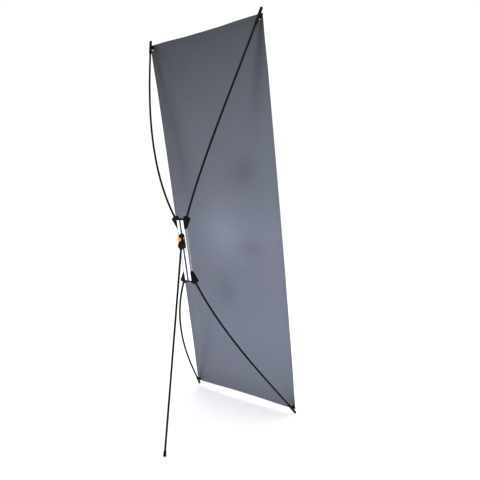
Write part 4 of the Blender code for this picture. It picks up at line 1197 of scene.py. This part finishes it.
slider = {
    "nose": 0.0205, "lobe": 0.0093, "pivotBelowKnob": 0.02075, "pivotStandoff": 0.0118, "cheek": 0.0044,
    "floor": 0.0032, "skirt": 0.0145, "heel": 0.0042, "tongue": 0.0018, "edge": 0.0005,
}
clamp = {
    "nutLength": 0.026, "nutThickness": 0.0042, "stud": 0.0050, "threadPitch": 0.0008, "threadDepth": 0.0004,
    "barPeek": 0.0006, "barHeight": 0.0060, "barThickness": 0.0030, "nutEdge": 0.0006, "barEdge": 0.0007,
}
knob = {
    "diameter": 0.0165, "height": 0.0095, "seat": 0.0115, "neck": 0.0030, "neckDiameter": 0.0105,
    "bored": 0.6, "lobes": 8, "scallop": 0.0010, "steps": 129, "rings": 49,
    # bored is the share of its height that the stud's hole takes up; the section's rows are
    # place along the grid, share of the radius, share of the height
    "section": [(0.0, 0.0, 0.0), (0.12, 0.74, 0.0), (0.20, 0.92, 0.06), (0.30, 1.0, 0.20), (0.55, 1.0, 0.62),
                (0.70, 0.96, 0.82), (0.80, 0.84, 0.93), (0.90, 0.48, 0.985), (1.0, 0.0, 1.0)],
}
leg = {
    "pin": 0.0040, "pinRecess": 0.0010, "holderWall": 0.00175, "holderLength": 0.0170, "holderBore": 0.0112,
    "knuckle": 0.0082, "edge": 0.0006,
}
foot = {"wall": 0.0020, "length": 0.024, "collarWall": 0.00085, "bore": 0.0150, "flat": 0.0008}
holderRadius = rodBore + leg["holderWall"]
yokeGap = 2 * holderRadius + 2 * gap
pivotDrop = knob["diameter"] / 2 + slider["pivotBelowKnob"]
pivotSpot = (0, slider["pivotStandoff"], -pivotDrop)
pinHole = leg["pin"] / 2 + play


def sliderRear():
    yoke, pivot = yokeGap / 2 + slider["cheek"], -pivotDrop
    lobe, nose, skirt = slider["lobe"], slider["nose"], slider["skirt"]
    right = [
        (0.36 * lobe, 0.99 * nose), (0.76 * lobe, 0.76 * nose), (0.97 * lobe, 0.36 * nose),
        (lobe, -0.07 * nose), (lobe, 0.40 * pivot), ((lobe + yoke) / 2, 0.70 * pivot),
        (yoke, pivot - 0.05 * skirt), (0.86 * yoke, pivot - 0.60 * skirt),
        (0.50 * yoke, pivot - 0.95 * skirt),
    ]
    return smoothOutline(mirrorOutline(right))


def sliderSide():
    pivot, back, skirt, nose = -pivotDrop, slider["pivotStandoff"], slider["skirt"], slider["nose"]
    under, deck, base = -knob["diameter"] / 2 - 0.0015, knob["seat"] - 2 * gap, -0.0015
    return smoothOutline([
        (base, pivot - skirt), (0.8 * back, pivot - skirt), (back + 0.0070, pivot - 0.6 * skirt),
        (back + 0.0088, pivot), (back + 0.0062, pivot + 0.0090), (deck + 0.0012, under),
        (deck, under + 0.0045), (deck, 0.0072), (0.86 * deck, 0.66 * nose),
        (0.58 * deck, 1.00 * nose), (0.40 * deck, 1.24 * nose), (base, 1.30 * nose),
    ])


def buildSlider():
    made = solid("sliderBlock", prism(sliderRear(), gap, 0.03, 1), "black")
    carve(made, prism(sliderSide(), -0.02, 0.02, 0), "INTERSECT")
    tongueFoot, half = -pivotDrop - 0.7 * slider["skirt"], profile["mouth"] / 2 - gap
    weld(made, box((-half, -slider["tongue"], tongueFoot), (half, 0.003, 0.8 * slider["nose"])))
    inside, ceiling = yokeGap / 2, slider["pivotStandoff"] - slider["floor"] + 4 * gap - pivotDrop
    cuts = box((-inside, slider["floor"], -0.06), (inside, 0.04, ceiling))
    halfBar = clamp["barHeight"] / 2 + gap
    addBox(cuts, (-0.02, -0.0001, -halfBar), (0.02, 2 * gap + clamp["barThickness"], halfBar))
    carve(made, cuts)
    roundEdges(made, slider["edge"], 3, 50)
    studHole = clamp["stud"] / 2 + gap
    holes = turned([(-0.01, studHole), (0.03, studHole)], origin, rearwards)
    carve(made, addTurned(holes, [(-0.02, pinHole), (0.02, pinHole)], pivotSpot, sideways, 32))
    fitPiece(made, sliderFrame, "slider", "moulding", "slider_block")


def buildClamp():
    half, top = profile["slotWidth"] / 2 - gap, -profile["lip"] - gap
    long, tall = clamp["nutLength"] / 2, clamp["barHeight"] / 2
    made = solid("clampNut", box((-half, top - clamp["nutThickness"], -long), (half, top, long)), "steel")
    roundEdges(made, clamp["nutEdge"], 3)
    drill(made, clamp["stud"] / 2 + play)
    fitPiece(made, sliderFrame, "slider", "steel", "clamp_nut")
    half = slider["lobe"] + clamp["barPeek"]
    made = solid("clampBar", box((-half, gap, -tall), (half, gap + clamp["barThickness"], tall)), "orange")
    roundEdges(made, clamp["barEdge"], 4)
    drill(made, clamp["stud"] / 2 + gap)
    fitPiece(made, sliderFrame, "slider", "clamp_orange", "clamp_bar")


def buildPin():
    half, radius, chamfer = yokeGap / 2 + slider["cheek"] - leg["pinRecess"], leg["pin"] / 2, 0.0004
    right = [(half - chamfer, radius), (half, radius * 0.8), (half, 0.0)]
    ends = filletPair([(-along, wide) for along, wide in reversed(right)] + right, 0.0002)
    made = solid("legPin", turned(ends, pivotSpot, sideways), "steel")
    fitPiece(made, sliderFrame, "slider", "steel", "leg_pin")


def buildKnob():
    empty = addObject("knobSource", bpy.data.meshes.new("knobSource"))
    made = growPiece(
        "clampKnob", knobTree(), empty, "orange", Diameter=knob["diameter"], Height=knob["height"],
        Lobes=knob["lobes"], Scallop=knob["scallop"], Steps=knob["steps"], Rings=knob["rings"],
    )
    mend(made.data, True)
    seat, grip, wide = knob["seat"], knob["seat"] + knob["neck"], knob["neckDiameter"] / 2
    made.data.transform(Matrix.Translation((0, grip, 0)) @ Matrix.Rotation(-pi / 2, 4, "X"))  # along the stud
    neck = [(seat, wide - 0.0003), (seat + 0.0003, wide), (grip + 0.0010, wide)]
    weld(made, turned(neck, origin, rearwards, 48))
    depth = grip + knob["bored"] * knob["height"]
    drill(made, clamp["stud"] / 2 + gap, low=0.0, high=depth)
    fitPiece(made, sliderFrame, "knob", "clamp_orange", "clamp_knob", 50)
    return depth - gap


def buildStud(far):
    # thread crests as rings, from the nut to the knob's seat
    low, pitch = -profile["lip"] - gap - clamp["nutThickness"], clamp["threadPitch"]
    radius = clamp["stud"] / 2
    pairs = [(low, 0.0), (low, radius * 0.75), (low + 0.0006, radius)]
    along = low + 0.0010
    while along < knob["seat"] - 0.002:
        pairs += [(along, radius), (along + pitch / 2, radius - clamp["threadDepth"])]
        along += pitch
    pairs += [(along, radius), (far, radius), (far, 0.0)]
    made = solid("clampStud", turned(pairs, origin, rearwards, 28), "steel")
    fitPiece(made, sliderFrame, "knob", "steel", "clamp_stud")


buildSlider()
buildClamp()
buildPin()
buildStud(buildKnob())
print("slider and clamp assembled")


# rear leg

def legView(behind, up):
    # a place beside the pivot, turned into the leg's own frame
    return (behind * cos(legSplay) + up * sin(legSplay), -behind * sin(legSplay) + up * cos(legSplay))


def buildHolder():
    heel = slider["pivotStandoff"] - slider["floor"] - gap
    begin = atan2(-leg["knuckle"] * 0.25, -leg["knuckle"])
    outline = arc(origin, leg["knuckle"], begin, begin + 1.42 * pi, 40)
    outline += [legView(-heel, slider["heel"]), legView(-heel, 0.0)]
    half, long = yokeGap / 2 - gap, leg["holderLength"]
    made = solid("legHolder", prism(outline, -half, half, 0), "black")
    roundEdges(made, leg["edge"], 3)
    tube = [(0.0, holderRadius), (long - 0.0012, holderRadius)]
    tube += [(long - 0.0004, holderRadius * 0.96), (long, holderRadius * 0.88)]
    weld(made, turned(tube, origin, downwards, 40))
    drill(made, rodBore, origin, downwards, long - leg["holderBore"], long + 0.01)
    drill(made, pinHole, origin, sideways)
    fitPiece(made, legFrame, "leg", "moulding", "leg_holder")


def buildFoot():
    radius, collar = rodBore + foot["wall"], rodBore + foot["collarWall"]
    reach = (legFrame.translation.z - (radius - foot["flat"])) / cos(legSplay - lean)
    top = reach - (foot["length"] - radius)
    pairs = [(top, 0.0), (top, collar - 0.0002), (top + 0.0004, collar + 0.0001)]
    pairs += [(top + 0.0016, collar + 0.0003), (top + 0.0024, collar + 0.0002)]
    pairs += [(top + 0.55 * foot["length"], radius * 0.93), (reach, radius)] + dome(reach, radius)
    made = solid("legFoot", turned(pairs, origin, downwards, 40), "rubber")
    drill(made, rodBore, origin, downwards, top - 0.01, top + foot["bore"])
    made.data.transform(legFrame)
    carve(made, box((-0.1, -1, -0.1), (0.1, 2, 0)))  # flat where it stands on the floor
    fitPiece(made, None, "leg", "foot_rubber", "leg_foot")
    return top


def buildLegPole(footTop):
    low, high = leg["holderLength"] - leg["holderBore"] + gap, footTop + foot["bore"] - gap
    route = [legFrame @ Vector((0, 0, -(low + (high - low) * k / 20))) for k in range(21)]
    fitPiece(rodAlong("poleOfLeg", "legRoute", route), None, "leg", "pole", "leg_pole")


buildHolder()
buildLegPole(buildFoot())
print("leg fitted")


# stage

studio = {"floor": 30.0, "world": 1.035, "gamma": 0.8, "aim": (0, 0, 0.9)}
lamps = {  # place, size and power
    "keyLight": ((-2.6, 2.8, 3.2), 2.2, 80),
    "fillLight": ((3.0, 2.2, 1.6), 2.6, 30),
    "frontLight": ((0.8, -3.2, 2.6), 2.4, 20),
}


def softLamp(name, spot, size, power):
    data = bpy.data.lights.new(name, "AREA")
    data.shape, data.size, data.energy = "DISK", size, power
    made = addObject(name, data)
    made.location = spot
    made.rotation_euler = (Vector(studio["aim"]) - Vector(spot)).to_track_quat("-Z", "Y").to_euler()


def buildStage():
    half = studio["floor"] / 2
    corners = ((-half, -half, 0), (half, -half, 0), (half, half, 0), (-half, half, 0))
    shape = bmesh.new()
    shape.faces.new([shape.verts.new(spot) for spot in corners])
    solid("floor", shape, "floor")
    world = bpy.data.worlds.new("studio")
    world.use_nodes = True
    sky = {"Color": (1.0, 1.0, 1.0, 1), "Strength": studio["world"]}
    feed(world.node_tree, world.node_tree.nodes["Background"], sky)
    bpy.context.scene.world = world
    for name, settings in lamps.items():
        softLamp(name, *settings)
    bpy.context.scene.view_settings.view_transform = "Standard"
    bpy.context.scene.view_settings.gamma = studio["gamma"]


buildStage()
